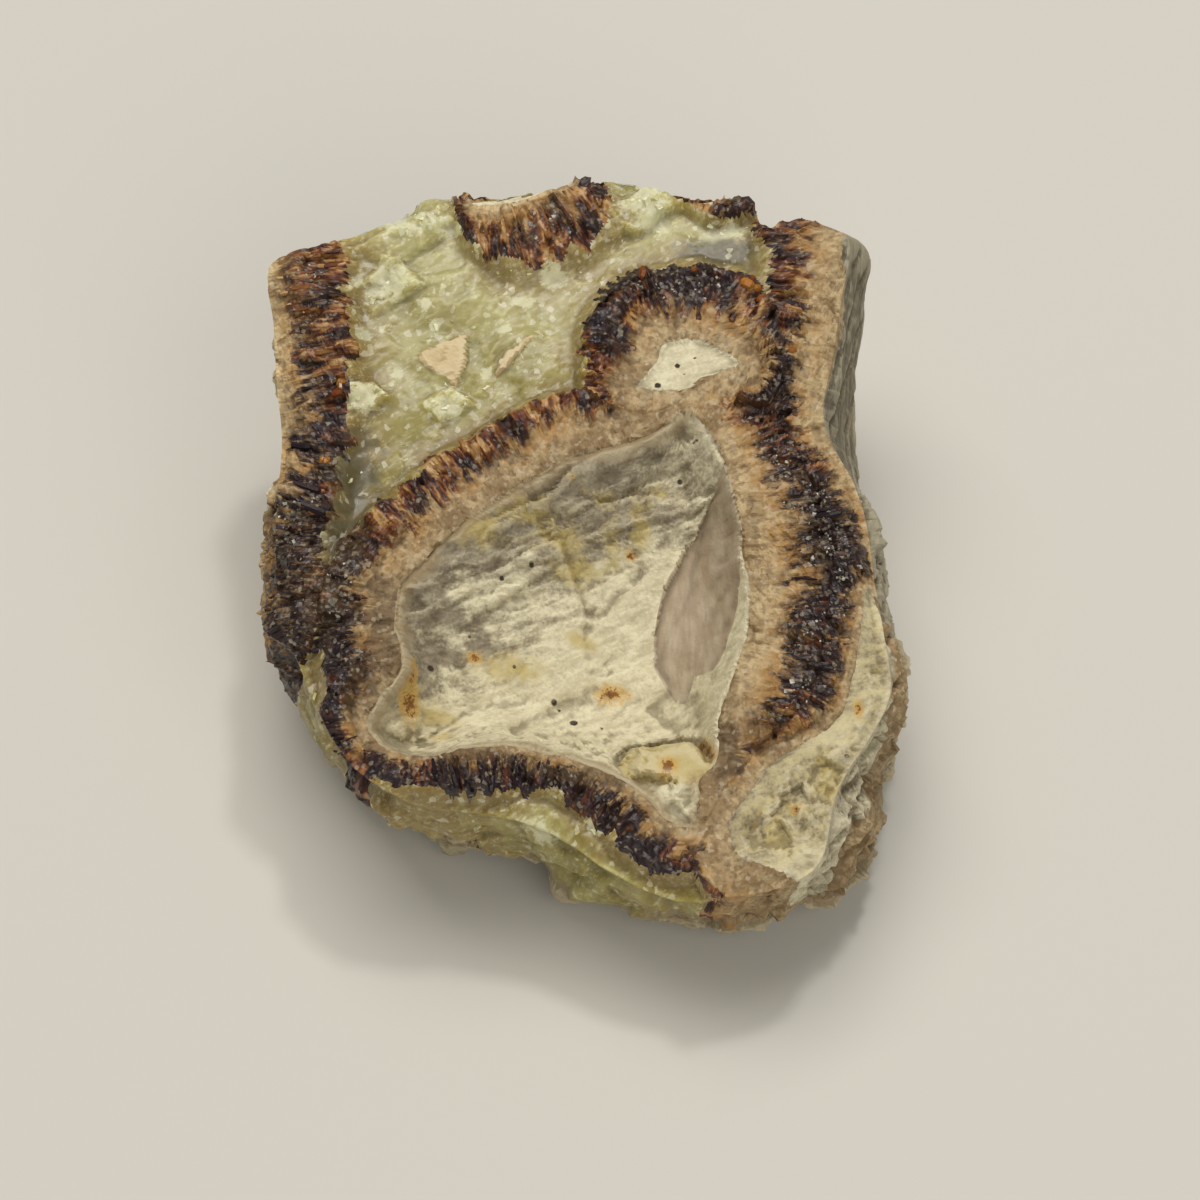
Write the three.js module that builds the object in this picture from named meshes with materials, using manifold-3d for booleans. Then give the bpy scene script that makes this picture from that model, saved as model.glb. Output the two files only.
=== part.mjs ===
// A broken piece of a septarian nodule: grey and cream limestone whose shrinkage cracks are lined with
// brown columnar calcite and filled with yellow-green calcite spar. It grew as one piece, so it is one mesh.
// Millimetres, +Z up. The origin is under the middle of the stone, on the surface that it rests on.
//
// The broken face is laid out in its own plane: u to the right, v up the face, and depth straight down into
// the stone. The face leans back by FACE_TILT, and the stone stands on a small flat foot. Everything is built
// with the middle of the face at x = y = 0, and the finished stone is then moved by CENTRE.

import * as THREE from "three";
import { mergeVertices } from "three/addons/utils/BufferGeometryUtils.js";
import Module from "manifold-3d";

// ---- Driving dimensions ----------------------------------------------------------------------------------

const FACE_TILT = THREE.MathUtils.degToRad(14);
const FACE_HEIGHT = 11; // from the resting surface to the middle of the face
const CENTRE = [-0.24, 0.49]; // where the middle of the finished stone lies from the middle of its face

const HOLLOW_DEPTH = 3.3; // the socket where the limestone core has flaked away
const LEDGE_RISE = 0.55; // height of the ledges where the core split along its beds
const LEDGE_WIDTH = 1.8;
const FLAKE_RELIEF = 0.45; // flat flake scars on the floors of the hollows
const LOBE_RISE = 1.9; // the knob of limestone left standing in the front of the hollow
const LEAF_DROP = 0.15; // the smooth leaf-shaped scar in the hollow's right bank
const SEPTUM_DEPTH = 1.2; // the second hollow, in the limestone sheet at the right
const PATCH_DROP = 0.15; // the small cream patch near the top
const COLUMN_RISE = 0.3; // how far the brown crystal bands stand proud
const SPAR_DROP = 0.45; // how far the yellow spar lies back
const BROAD_SWELL = 0.3; // long slow swells of the broken face
const EDGE_ROUNDING = 0.3; // how far the face dips where it meets the sides
const SIDE_BREAKS = { size: 3.6, height: 0.9 }; // flat breaks on the sides
const UNDER_BREAKS = { size: 5.5, height: 1.7 }; // and the broader ones below
const SIDE_BULGE = 0.15; // how far the sides swell between the face and the widest line
const SHALE_BED = 1.7; // height of the beds that step the right side
const SHALE_STEP = 0.3; // how far each bed stands out

const FOOT_RADIUS = [7.4, 6.8]; // half-width and half-depth of the flat foot
const FOOT_CENTRE = [0.4, 0.6];
const ICOSAHEDRON_DETAIL = 13; // 20 (detail + 1)^2 triangles in the body

const COLUMN_SPACING = 0.92; // between neighbouring crystal columns, along a wall
const COLUMN_SIDES = 5;
const COLUMN_RADIUS = [0.5, 0.75]; // at the root; each column narrows to a point
const SPAR_SPACING = 2.2; // between neighbouring spar blocks
const SPAR_SIZE = [1.0, 1.9];
const SPAR_THICKNESS = 0.45; // as a share of the block's width

// ---- Outlines --------------------------------------------------------------------------------------------

// The edge of the broken face, [u, v], anticlockwise from the right.
const FACE = [
  [11.4, -0.2], [10.9, 1.8], [10.0, 3.5], [9.7, 5.0], [10.1, 7.0], [10.5, 9.6], [10.9, 12.3], [9.4, 12.7],
  [7.9, 12.9], [6.4, 13.7], [4.2, 14.2], [2.5, 14.9], [0.7, 14.5], [-1.2, 14.8], [-2.7, 14.3], [-5.3, 14.0],
  [-7.9, 13.3], [-10.5, 12.1], [-12.9, 11.3], [-12.7, 8.7], [-12.5, 6.1], [-12.2, 3.5], [-12.3, 0.9],
  [-12.3, -1.7], [-12.0, -4.3], [-11.1, -6.4], [-10.1, -8.8], [-8.7, -10.7], [-6.8, -11.7], [-4.0, -12.1],
  [-1.3, -12.8], [0.8, -14.2], [2.7, -15.2], [4.5, -15.6], [7.2, -15.3], [9.2, -14.1], [9.9, -11.3],
  [11.3, -9.0], [12.1, -7.2], [11.9, -4.7], [11.6, -2.4],
];

// The widest line round the stone, [u, v, depth below the face], anticlockwise from the right.
const GIRDLE = [
  [12.4, -0.7, 4.6], [11.7, 1.6, 4.2], [11.3, 4.4, 4.4], [11.4, 8.1, 4.8], [11.8, 11.9, 5.0],
  [11.7, 14.0, 4.0], [7.4, 15.0, 2.4], [2.5, 16.3, 2.2], [-1.2, 16.2, 2.2], [-5.4, 15.5, 2.2],
  [-8.1, 14.8, 2.0], [-10.7, 13.2, 1.8], [-13.2, 11.8, 1.5], [-12.9, 7.9, 2.2], [-12.6, 4.6, 2.8],
  [-13.2, 1.7, 3.2], [-13.5, -2.1, 3.6], [-12.8, -4.6, 3.4], [-11.7, -7.0, 3.2], [-10.2, -9.2, 3.2],
  [-7.9, -11.0, 3.4], [-5.3, -12.1, 3.8], [-2.5, -13.0, 4.2], [-0.3, -14.4, 4.6], [3.0, -15.3, 5.0],
  [6.6, -15.3, 5.2], [10.5, -13.9, 5.2], [12.0, -11.3, 5.4], [12.5, -8.8, 5.4], [13.4, -5.7, 5.2],
  [13.3, -3.3, 5.0],
];

// A wall is the outline of a limestone mass that calcite grew from. Each point is [u, v, bank, pale, dark]:
// how far a hollow's bank runs in, and how thick the pale layer and the dark crystals outside it are.
const HOLLOW = [
  [4.0, 4.5, 3.0, 0.9, 0.6], [4.9, 3.9, 3.0, 1.2, 1.2], [5.6, 2.5, 2.2, 1.6, 2.0],
  [6.1, 0.9, 1.4, 1.8, 2.3], [6.3, -0.9, 1.4, 1.8, 2.6], [6.6, -2.6, 1.6, 1.6, 2.6],
  [6.6, -4.0, 1.8, 1.6, 2.3], [6.3, -5.5, 1.8, 1.6, 2.2], [5.7, -7.2, 1.6, 1.7, 1.8],
  [5.3, -8.6, 1.4, 1.5, 1.2], [5.2, -10.0, 1.8, 1.2, 0.5], [4.6, -10.8, 2.4, 1.0, 0.4],
  [4.5, -11.9, 2.6, 1.0, 0.6], [4.2, -12.8, 2.6, 0.8, 1.0], [3.3, -12.5, 2.6, 0.6, 1.4],
  [2.5, -11.6, 2.4, 0.5, 1.5], [1.4, -10.8, 2.0, 0.4, 1.4], [0.3, -10.2, 1.8, 0.4, 1.3],
  [-1.1, -9.8, 1.8, 0.4, 1.2], [-2.9, -9.5, 1.8, 0.3, 1.5], [-4.6, -9.6, 1.6, 0.3, 1.5],
  [-6.2, -10.0, 1.2, 0.2, 1.3], [-7.6, -9.7, 1.2, 0.4, 1.1], [-8.5, -8.8, 1.4, 0.6, 1.2],
  [-8.1, -7.7, 1.6, 0.9, 1.3], [-7.2, -6.2, 2.0, 1.4, 1.5], [-7.5, -4.4, 2.4, 1.2, 1.5],
  [-7.2, -2.6, 3.4, 1.3, 1.6], [-5.7, -0.9, 4.2, 1.5, 1.4], [-4.2, 0.5, 4.6, 1.4, 1.4],
  [-2.4, 1.7, 4.6, 1.4, 1.3], [-0.6, 2.6, 4.4, 1.5, 1.3], [1.5, 3.2, 4.0, 1.6, 0.8],
  [2.9, 3.8, 3.0, 1.2, 0.6],
];
const PATCH = [
  [3.6, 7.9, 0.15, 1.3, 1.9], [4.9, 7.9, 0.15, 1.2, 2.0], [6.3, 6.9, 0.15, 1.0, 1.6],
  [5.7, 6.5, 0.15, 1.2, 0.5], [4.7, 6.1, 0.15, 1.6, 0.4], [4.2, 5.6, 0.15, 1.6, 0.4],
  [2.2, 5.7, 0.15, 1.3, 0.9], [2.9, 6.7, 0.15, 1.2, 1.8], [3.2, 7.5, 0.15, 1.3, 1.9],
];
const LEFT_WALL = [
  [-13.2, 11.9, 1, 0.5, 2.6], [-12.9, 9.2, 1, 0.9, 2.2], [-12.7, 6.5, 1, 1.0, 2.4],
  [-12.4, 3.9, 1, 0.7, 2.2], [-12.7, 1.9, 1, 0.5, 2.3], [-13.2, 0.6, 1, 0.3, 2.7],
  [-13.4, -1.3, 1, 0.3, 2.4], [-13.4, -3.0, 1, 0.3, 2.3], [-13.4, -4.4, 1, 0.2, 1.3],
  [-15.2, -5.2, 1, 0.2, 0.6], [-15.7, -1.3, 1, 1, 1], [-15.5, 4.3, 1, 1, 1], [-15.5, 9.6, 1, 1, 1],
  [-15.2, 12.3, 1, 1, 1],
];
const RIGHT_WALL = [
  [11.0, 13.2, 1, 1.5, 1.7], [10.7, 9.6, 1, 1.6, 1.7], [10.3, 7.2, 1, 1.5, 1.5], [9.8, 5.1, 1, 1.2, 1.2],
  [10.1, 3.5, 1, 0.9, 1.4], [10.9, 2.1, 1, 0.7, 1.8], [11.5, 0.2, 1, 0.5, 2.0], [11.8, -1.7, 1, 0.5, 2.0],
  [12.3, -3.4, 1, 0.6, 1.6], [14.6, -3.4, 1, 1, 1], [15.2, 3.0, 1, 1, 1], [15.4, 9.6, 1, 1, 1],
  [14.7, 13.5, 1, 1, 1],
];
const SEPTUM = [
  [11.3, -2.8, 0.6, 0.5, 1.6], [10.9, -5.1, 0.8, 0.5, 1.6], [10.6, -6.8, 1.0, 0.5, 1.4],
  [10.0, -8.4, 1.2, 0.5, 1.1], [8.6, -9.5, 1.4, 0.6, 0.8], [7.3, -10.3, 1.4, 0.8, 0.4],
  [6.5, -11.3, 1.2, 1.0, 0.3], [5.9, -12.2, 1.2, 1.2, 0.3], [5.7, -13.1, 1.2, 1.4, 0.3],
  [6.0, -13.9, 1.0, 1.6, 0.3], [7.1, -14.4, 0.8, 1.6, 0.3], [8.6, -14.8, 0.8, 1.6, 0.3],
  [9.7, -14.5, 0.8, 1.8, 0.3], [9.9, -13.2, 0.8, 2.4, 0.3], [10.2, -12.0, 0.8, 2.4, 0.3],
  [11.3, -10.5, 0.8, 2.2, 0.3], [11.8, -9.3, 0.7, 2.2, 0.3], [12.1, -7.6, 0.6, 2.2, 0.3],
  [12.1, -5.9, 0.6, 2.0, 0.3], [11.9, -4.5, 0.6, 1.8, 0.3],
];
const TOP_ISLAND = [
  [-4.6, 14.0, 1, 0.2, 1.6], [-3.9, 14.0, 1, 0.3, 2.3], [-3.0, 14.1, 1, 0.5, 2.4],
  [-2.1, 14.4, 1, 0.4, 2.6], [-1.2, 15.0, 1, 0.3, 2.6], [-0.6, 15.6, 1, 0.2, 1.4],
  [-0.7, 16.4, 1, 0.3, 0.6], [-3.0, 16.4, 1, 0.3, 0.6], [-4.8, 14.8, 1, 0.3, 0.2],
];
const TOP_SPUR = [
  [4.6, 14.9, 1, 0.1, 0.7], [5.4, 14.6, 1, 0.1, 1.1], [6.0, 14.5, 1, 0.1, 0.9], [6.0, 15.2, 1, 0.1, 0.6],
  [4.6, 15.4, 1, 0.1, 0.6],
];
const LEAF = [
  [5.7, 2.3], [5.0, 1.0], [4.1, -0.6], [3.3, -2.0], [2.9, -3.7], [2.9, -5.3], [3.9, -6.8], [4.5, -5.9],
  [5.2, -5.8], [5.8, -4.6], [6.2, -2.9], [6.3, -1.0], [6.1, 0.8],
];
const LOBE = [
  [1.5, -8.8], [1.4, -9.6], [1.9, -10.7], [3.2, -12.1], [4.2, -12.4], [4.4, -11.3], [5.1, -9.7], [4.8, -8.7],
  [4.2, -8.2], [2.6, -8.4],
];

// ---- Small helpers ---------------------------------------------------------------------------------------

const mix = (a, b, t) => a + (b - a) * t;
const clamp01 = (x) => Math.min(1, Math.max(0, x));
const smooth = (a, b, x) => {
  const t = clamp01((x - a) / (b - a));
  return t * t * (3 - 2 * t);
};

// A number from 0 to 1 that depends only on three whole numbers and a seed.
function scatter(i, j, k, seed) {
  const x = Math.sin(i * 127.1 + j * 311.7 + k * 74.7 + seed * 19.19) * 43758.5453;
  return x - Math.floor(x);
}

// A closed Catmull-Rom curve through points that carry any number of values each.
function closedCurve(points, steps = 5) {
  const n = points.length;
  const samples = [];
  for (let i = 0; i < n; i++) {
    const [a, b, c, d] = [-1, 0, 1, 2].map((k) => points[(i + k + n) % n]);
    for (let s = 0; s < steps; s++) {
      const t = s / steps;
      samples.push(
        b.map((_, k) => {
          const bend = 2 * a[k] - 5 * b[k] + 4 * c[k] - d[k];
          const twist = 3 * b[k] - a[k] - 3 * c[k] + d[k];
          return b[k] + 0.5 * t * (c[k] - a[k] + t * (bend + t * twist));
        }),
      );
    }
  }
  return samples;
}

function isInside(curve, u, v) {
  let inside = false;
  for (let i = 0, j = curve.length - 1; i < curve.length; j = i++) {
    const [ui, vi] = curve[i];
    const [uj, vj] = curve[j];
    if (vi > v !== vj > v && u < ((uj - ui) * (v - vi)) / (vj - vi) + ui) inside = !inside;
  }
  return inside;
}

const distanceTo = (curve, u, v) => Math.min(...curve.map((p) => Math.hypot(u - p[0], v - p[1])));

// The value of each column of an outline in the direction angle, seen from the face's middle.
function ringReader(points) {
  const ring = closedCurve(points, 6)
    .map((p) => ({ angle: Math.atan2(p[1], p[0]), values: [Math.hypot(p[0], p[1]), ...p.slice(2)] }))
    .sort((a, b) => a.angle - b.angle);
  const first = { ...ring[0], angle: ring[0].angle + 2 * Math.PI };
  const last = { ...ring.at(-1), angle: ring.at(-1).angle - 2 * Math.PI };
  const closed = [last, ...ring, first];
  return (angle) => {
    const k = closed.findIndex((p, i) => i > 0 && p.angle >= angle);
    const [a, b] = [closed[k - 1], closed[k]];
    const t = (angle - a.angle) / Math.max(1e-9, b.angle - a.angle);
    return a.values.map((value, i) => mix(value, b.values[i], t));
  };
}

// Flat breaks: space is shared among scattered seeds, and each seed's share is one tilted plane.
function flatBreaks(p, size, seed) {
  const cell = p.map((x) => Math.floor(x / size));
  let nearest = Infinity;
  let height = 0;
  for (let i = -1; i <= 1; i++)
    for (let j = -1; j <= 1; j++)
      for (let k = -1; k <= 1; k++) {
        const c = [cell[0] + i, cell[1] + j, cell[2] + k];
        const offset = c.map((x, axis) => p[axis] / size - x - scatter(...c, seed + axis));
        const distance = offset[0] ** 2 + offset[1] ** 2 + offset[2] ** 2;
        if (distance >= nearest) continue;
        nearest = distance;
        const lean = offset.map((x, axis) => x * (scatter(...c, seed + 7 + axis) - 0.5));
        height = scatter(...c, seed + 5) - 0.5 + 1.6 * (lean[0] + lean[1] + lean[2]);
      }
  return height;
}

// ---- The layers of the face ------------------------------------------------------------------------------

const faceCurve = closedCurve(FACE);
const [hollow, patch, septum] = [HOLLOW, PATCH, SEPTUM].map((w) => closedCurve(w));
const outerWalls = [LEFT_WALL, RIGHT_WALL, TOP_ISLAND, TOP_SPUR].map((w) => closedCurve(w));
const walls = [hollow, patch, septum, ...outerWalls];
const [leaf, lobe] = [LEAF, LOBE].map((w) => closedCurve(w));

// How deep into its bank a point of a hollow lies: 0 at the rim, 1 where the bank ends.
const reachInto = (wall, u, v) => Math.min(...wall.map((p) => Math.hypot(u - p[0], v - p[1]) / p[2]));

// 0 at a limestone wall, 1 where the pale layer ends, 2 where the dark crystals end, and more in the spar.
function layerAt(u, v) {
  let layer = Infinity;
  for (const wall of walls) {
    if (isInside(wall, u, v)) return 0;
    for (const [wu, wv, , pale, dark] of wall) {
      const d = Math.hypot(u - wu, v - wv);
      layer = Math.min(layer, d < pale ? d / pale : 1 + (d - pale) / dark);
    }
  }
  return layer;
}

// Height of the ledges, which run up to the right across the far bank of the hollow.
function ledgeHeight(u, v) {
  const across = 0.92 * v - 0.4 * u + 0.4 * Math.sin(0.8 * u + 0.3 * v);
  const bed = across / LEDGE_WIDTH;
  const share = bed - Math.floor(bed);
  return LEDGE_RISE * smooth(-6, 0, across) * (share - smooth(0.65, 1, share));
}

function hollowDepth(u, v) {
  const bank = 1 - Math.exp(-1.5 * reachInto(hollow, u, v));
  const inner = smooth(0.4, 2, distanceTo(hollow, u, v));
  const broken = ledgeHeight(u, v) + FLAKE_RELIEF * flatBreaks([u, v, 0], 2.6, 5);
  let dug = HOLLOW_DEPTH * bank - inner * broken;
  if (isInside(lobe, u, v)) dug -= LOBE_RISE * smooth(0, 0.7, distanceTo(lobe, u, v));
  if (isInside(leaf, u, v)) dug += LEAF_DROP * smooth(0, 0.3, distanceTo(leaf, u, v));
  return Math.max(0.1, dug);
}

function septumDepth(u, v) {
  const bank = 1 - Math.exp(-1.6 * reachInto(septum, u, v));
  const inner = smooth(0.3, 1.2, distanceTo(septum, u, v));
  return SEPTUM_DEPTH * bank - inner * FLAKE_RELIEF * flatBreaks([u, v, 0], 2.2, 6);
}

// Height of the broken face above its mean plane.
function relief(u, v) {
  const waves = Math.sin(0.32 * u + 0.8) * Math.cos(0.27 * v - 0.4) + 0.3 * Math.sin(0.7 * v + u);
  const swell = BROAD_SWELL * waves;
  const edge = EDGE_ROUNDING * (1 - smooth(0, 1.1, distanceTo(faceCurve, u, v)));
  const base = swell - edge;
  if (isInside(hollow, u, v)) return base - hollowDepth(u, v);
  if (isInside(septum, u, v)) return base - septumDepth(u, v);
  if (isInside(patch, u, v)) return base - PATCH_DROP * smooth(0, 1, reachInto(patch, u, v));
  const layer = layerAt(u, v);
  if (layer < 2) return base + COLUMN_RISE * smooth(0.8, 1.3, layer);
  const lumps = 0.7 * flatBreaks([u, v, 0], 1.9, 3);
  return base + mix(COLUMN_RISE, lumps - SPAR_DROP, smooth(2, 2.5, layer));
}

// ---- The body --------------------------------------------------------------------------------------------

// Face coordinates to the part's frame.
function place(u, v, depth) {
  const y = v * Math.cos(FACE_TILT) + depth * Math.sin(FACE_TILT);
  const z = FACE_HEIGHT + v * Math.sin(FACE_TILT) - depth * Math.cos(FACE_TILT);
  return new THREE.Vector3(u, y, z);
}

const faceEdge = ringReader(FACE);
const girdle = ringReader(GIRDLE);
// The share of the body's vertices on the face, the sides, the underside and the foot.
const SHARES = { face: 0.64, side: 0.19, under: 0.13, foot: 0.04 };
const FACE_END = SHARES.face;
const SIDE_END = FACE_END + SHARES.side;
const UNDER_END = SIDE_END + SHARES.under;
const SNAP = 0.008; // vertices this near a rim are drawn onto it, so that the rim stays crisp

// The point of the smooth body that a direction from the middle of a ball stands for, and where it lies.
function bodyPoint(direction) {
  const angle = Math.atan2(direction.y, direction.x);
  let share = (1 - direction.z) / 2;
  for (const rim of [FACE_END, UNDER_END]) if (Math.abs(share - rim) < SNAP) share = rim;
  const [cos, sin] = [Math.cos(angle), Math.sin(angle)];
  const [edgeRadius] = faceEdge(angle);
  const [girdleRadius, girdleDepth] = girdle(angle);
  if (share <= FACE_END) {
    const radius = edgeRadius * Math.sqrt(share / FACE_END);
    const [u, v] = [radius * cos, radius * sin];
    return { point: place(u, v, -relief(u, v)), side: 0, under: 0 };
  }
  const edge = [edgeRadius * cos, edgeRadius * sin];
  const top = place(...edge, -relief(...edge));
  const widest = place(girdleRadius * cos, girdleRadius * sin, girdleDepth);
  if (share <= SIDE_END) {
    const t = (share - FACE_END) / SHARES.side;
    const point = top.clone().lerp(widest, t);
    const out = Math.sin(t * Math.PI) * SIDE_BULGE;
    point.x += out * cos;
    point.y += out * sin;
    return { point, side: smooth(0, 0.2, t), under: 0 };
  }
  const [footU, footV] = [FOOT_RADIUS[0] * cos, FOOT_RADIUS[1] * sin];
  const foot = new THREE.Vector3(FOOT_CENTRE[0] + footU, FOOT_CENTRE[1] + footV, 0);
  if (share < UNDER_END) {
    const t = (share - SIDE_END) / SHARES.under;
    const sweep = t * (Math.PI / 2);
    const point = new THREE.Vector3(
      mix(foot.x, widest.x, Math.cos(sweep) ** 0.8),
      mix(foot.y, widest.y, Math.cos(sweep) ** 0.8),
      widest.z * (1 - Math.sin(sweep) ** 1.3),
    );
    const under = smooth(0, 0.4, t);
    const fade = 1 - smooth(0.65, 1, t);
    return { point, side: fade * (1 - under), under: fade * under };
  }
  const inward = Math.sqrt((1 - share) / SHARES.foot);
  const middle = new THREE.Vector3(...FOOT_CENTRE, 0);
  return { point: middle.lerp(foot, inward), side: 0, under: 0 };
}

// The beds of grey shale that step the right side in and out.
function shaleStep(point) {
  const right = smooth(8, 10.5, point.x);
  const bed = point.z / SHALE_BED + 0.15 * point.y;
  return right * SHALE_STEP * (smooth(0.1, 0.35, bed - Math.floor(bed)) * 2 - 1);
}

function bodyGeometry() {
  const ball = new THREE.IcosahedronGeometry(1, ICOSAHEDRON_DETAIL);
  ball.deleteAttribute("normal");
  ball.deleteAttribute("uv");
  const geometry = mergeVertices(ball, 1e-5);
  const position = geometry.getAttribute("position");
  const rough = [];
  for (let i = 0; i < position.count; i++) {
    const made = bodyPoint(new THREE.Vector3().fromBufferAttribute(position, i).normalize());
    position.setXYZ(i, ...made.point);
    rough.push(made);
  }
  geometry.computeVertexNormals();
  const normal = geometry.getAttribute("normal");
  for (let i = 0; i < position.count; i++) {
    const { side, under } = rough[i];
    if (side + under === 0) continue;
    const point = new THREE.Vector3().fromBufferAttribute(position, i);
    const sideBreak = SIDE_BREAKS.height * (flatBreaks([...point], SIDE_BREAKS.size, 11) - 0.45);
    const underBreak = UNDER_BREAKS.height * flatBreaks([...point], UNDER_BREAKS.size, 12);
    const out = side * (sideBreak + shaleStep(point)) + under * underBreak;
    point.addScaledVector(new THREE.Vector3().fromBufferAttribute(normal, i), out);
    position.setXYZ(i, point.x, point.y, Math.max(point.z, 0));
  }
  geometry.deleteAttribute("normal");
  return geometry;
}

// ---- Crystals --------------------------------------------------------------------------------------------

// Stands a shape made along +Y at a point of the face, with its axis towards (du, dv) and raised by pitch.
function layOnFace(geometry, u, v, height, du, dv, pitch, spin) {
  const along = new THREE.Vector3(du, dv * Math.cos(FACE_TILT), dv * Math.sin(FACE_TILT)).normalize();
  const up = new THREE.Vector3(0, -Math.sin(FACE_TILT), Math.cos(FACE_TILT));
  const axis = along.multiplyScalar(Math.cos(pitch)).addScaledVector(up, Math.sin(pitch));
  geometry.rotateY(spin);
  geometry.applyQuaternion(new THREE.Quaternion().setFromUnitVectors(new THREE.Vector3(0, 1, 0), axis));
  const at = place(u, v, -height);
  return geometry.translate(at.x, at.y, at.z);
}

// Brown calcite columns, side by side along each wall, with their flat sides showing.
function columnGeometries() {
  const made = [];
  walls.forEach((wall, w) => {
    const turn = Math.sign(signedArea(wall));
    let last = [Infinity, Infinity];
    wall.forEach(([wallU, wallV, , pale, dark], i) => {
      const [nextU, nextV] = wall[(i + 1) % wall.length];
      const step = Math.hypot(nextU - wallU, nextV - wallV);
      const [outU, outV] = [(turn * (nextV - wallV)) / step, (-turn * (nextU - wallU)) / step];
      const [u, v] = [wallU + outU * (pale + 0.5 * dark), wallV + outV * (pale + 0.5 * dark)];
      if (Math.hypot(u - last[0], v - last[1]) < COLUMN_SPACING) return;
      const length = dark * mix(0.9, 1.25, scatter(i, w, 2, 22));
      const [rootU, rootV] = [u - 0.25 * length * outU, v - 0.25 * length * outV];
      const layer = layerAt(u, v);
      if (dark < 0.6 || layer < 1.2 || layer > 1.8) return;
      if (!isInside(faceCurve, u, v) || !isInside(faceCurve, rootU, rootV)) return;
      last = [u, v];
      const radius = mix(...COLUMN_RADIUS, scatter(i, w, 1, 21));
      const column = new THREE.ConeGeometry(radius, length, COLUMN_SIDES);
      const pitch = mix(0.0, 0.3, scatter(i, w, 3, 23));
      made.push(layOnFace(column, u, v, relief(u, v), outU, outV, pitch, 6.3 * scatter(i, w, 4, 24)));
    });
  });
  return made;
}

function signedArea(curve) {
  return curve.reduce((sum, [u, v], i) => {
    const [nextU, nextV] = curve[(i + 1) % curve.length];
    return sum + (u * nextV - nextU * v) / 2;
  }, 0);
}

// Blocks of yellow spar, each a cleavage rhomb half sunk in its neighbours.
function sparGeometries() {
  const made = [];
  for (let i = -6; i <= 6; i++)
    for (let j = -7; j <= 7; j++) {
      const u = (i + scatter(i, j, 1, 31)) * SPAR_SPACING;
      const v = (j + scatter(i, j, 2, 32)) * SPAR_SPACING;
      if (!isInside(faceCurve, u, v) || distanceTo(faceCurve, u, v) < 1.3 || layerAt(u, v) < 2.3) continue;
      const size = mix(...SPAR_SIZE, scatter(i, j, 3, 33));
      const rhomb = new THREE.BoxGeometry(size, size * SPAR_THICKNESS, size);
      rhomb.applyMatrix4(new THREE.Matrix4().makeShear(0.25, 0, 0, 0, 0.25, 0));
      const turn = 6.3 * scatter(i, j, 4, 34);
      const pitch = mix(1.0, 1.5, scatter(i, j, 5, 35));
      const height = relief(u, v) + 0.02 * size;
      made.push(layOnFace(rhomb, u, v, height, Math.cos(turn), Math.sin(turn), pitch, turn * 1.7));
    }
  return made;
}

// ---- One solid -------------------------------------------------------------------------------------------

const wasm = await Module();
wasm.setup();

function solidOf(geometry) {
  geometry.deleteAttribute("normal");
  geometry.deleteAttribute("uv");
  const merged = mergeVertices(geometry, 1e-4);
  return new wasm.Manifold(
    new wasm.Mesh({
      numProp: 3,
      vertProperties: new Float32Array(merged.getAttribute("position").array),
      triVerts: new Uint32Array(merged.index.array),
    }),
  );
}

function geometryOf(solid) {
  const mesh = solid.getMesh();
  const geometry = new THREE.BufferGeometry();
  geometry.setAttribute("position", new THREE.BufferAttribute(mesh.vertProperties, 3));
  geometry.setIndex(new THREE.BufferAttribute(mesh.triVerts, 1));
  return geometry;
}

const body = solidOf(bodyGeometry());
const crystals = [...columnGeometries(), ...sparGeometries()].map(solidOf);
const stone = crystals.reduce((sum, crystal) => sum.add(crystal), body);

const limestone = new THREE.MeshStandardMaterial({ color: 0x8d7a5c, roughness: 0.75, metalness: 0 });
const nodule = new THREE.Mesh(geometryOf(stone), limestone);
nodule.name = "septarian_nodule";
nodule.position.set(-CENTRE[0], -CENTRE[1], 0);

const group = new THREE.Group();
group.add(nodule);
export default group;
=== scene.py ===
# %% [markdown]
# # A broken septarian nodule
# A septarian nodule is a limestone concretion that cracked as it shrank. Calcite then lined the cracks:
# first a sugary pale layer, then brown columns, then yellow-green spar that filled what was left. This
# lesson dresses a plain solid of one broken piece. The frame holds the solid at its real size, in metres,
# and everything that is made here has to keep to it.

# %% Load the frame
import math

import bpy
import numpy as np
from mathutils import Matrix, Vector


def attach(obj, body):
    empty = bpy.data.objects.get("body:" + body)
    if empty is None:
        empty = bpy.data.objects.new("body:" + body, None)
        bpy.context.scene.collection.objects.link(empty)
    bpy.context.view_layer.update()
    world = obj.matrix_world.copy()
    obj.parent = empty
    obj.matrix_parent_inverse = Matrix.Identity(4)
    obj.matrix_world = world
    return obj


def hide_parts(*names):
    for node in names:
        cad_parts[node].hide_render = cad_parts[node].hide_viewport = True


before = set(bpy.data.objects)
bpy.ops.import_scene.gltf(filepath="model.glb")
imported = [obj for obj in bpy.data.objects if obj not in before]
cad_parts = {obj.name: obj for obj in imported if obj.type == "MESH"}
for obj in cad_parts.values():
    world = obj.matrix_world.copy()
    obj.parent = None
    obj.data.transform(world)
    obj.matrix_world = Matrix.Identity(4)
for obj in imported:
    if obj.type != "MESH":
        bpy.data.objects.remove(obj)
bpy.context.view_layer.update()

# %% [markdown]
# ## Camera
# Shapes below are laid out in millimetres around the middle of the broken face, as a stonemason would set
# out a slab. CENTRE then moves them into the frame, whose origin is under the middle of the stone. The
# camera is a long lens that looks steeply down at the face, so that lines stay nearly parallel.

# %% Place the camera
MM = 0.001
CENTRE = np.array([-0.24, 0.49, 0.0])
CAMERA_AT = np.array([0.65, -88.0, 136.2])
CAMERA_DOWN = math.radians(56.1)
LENS_MM = 114.63

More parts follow.
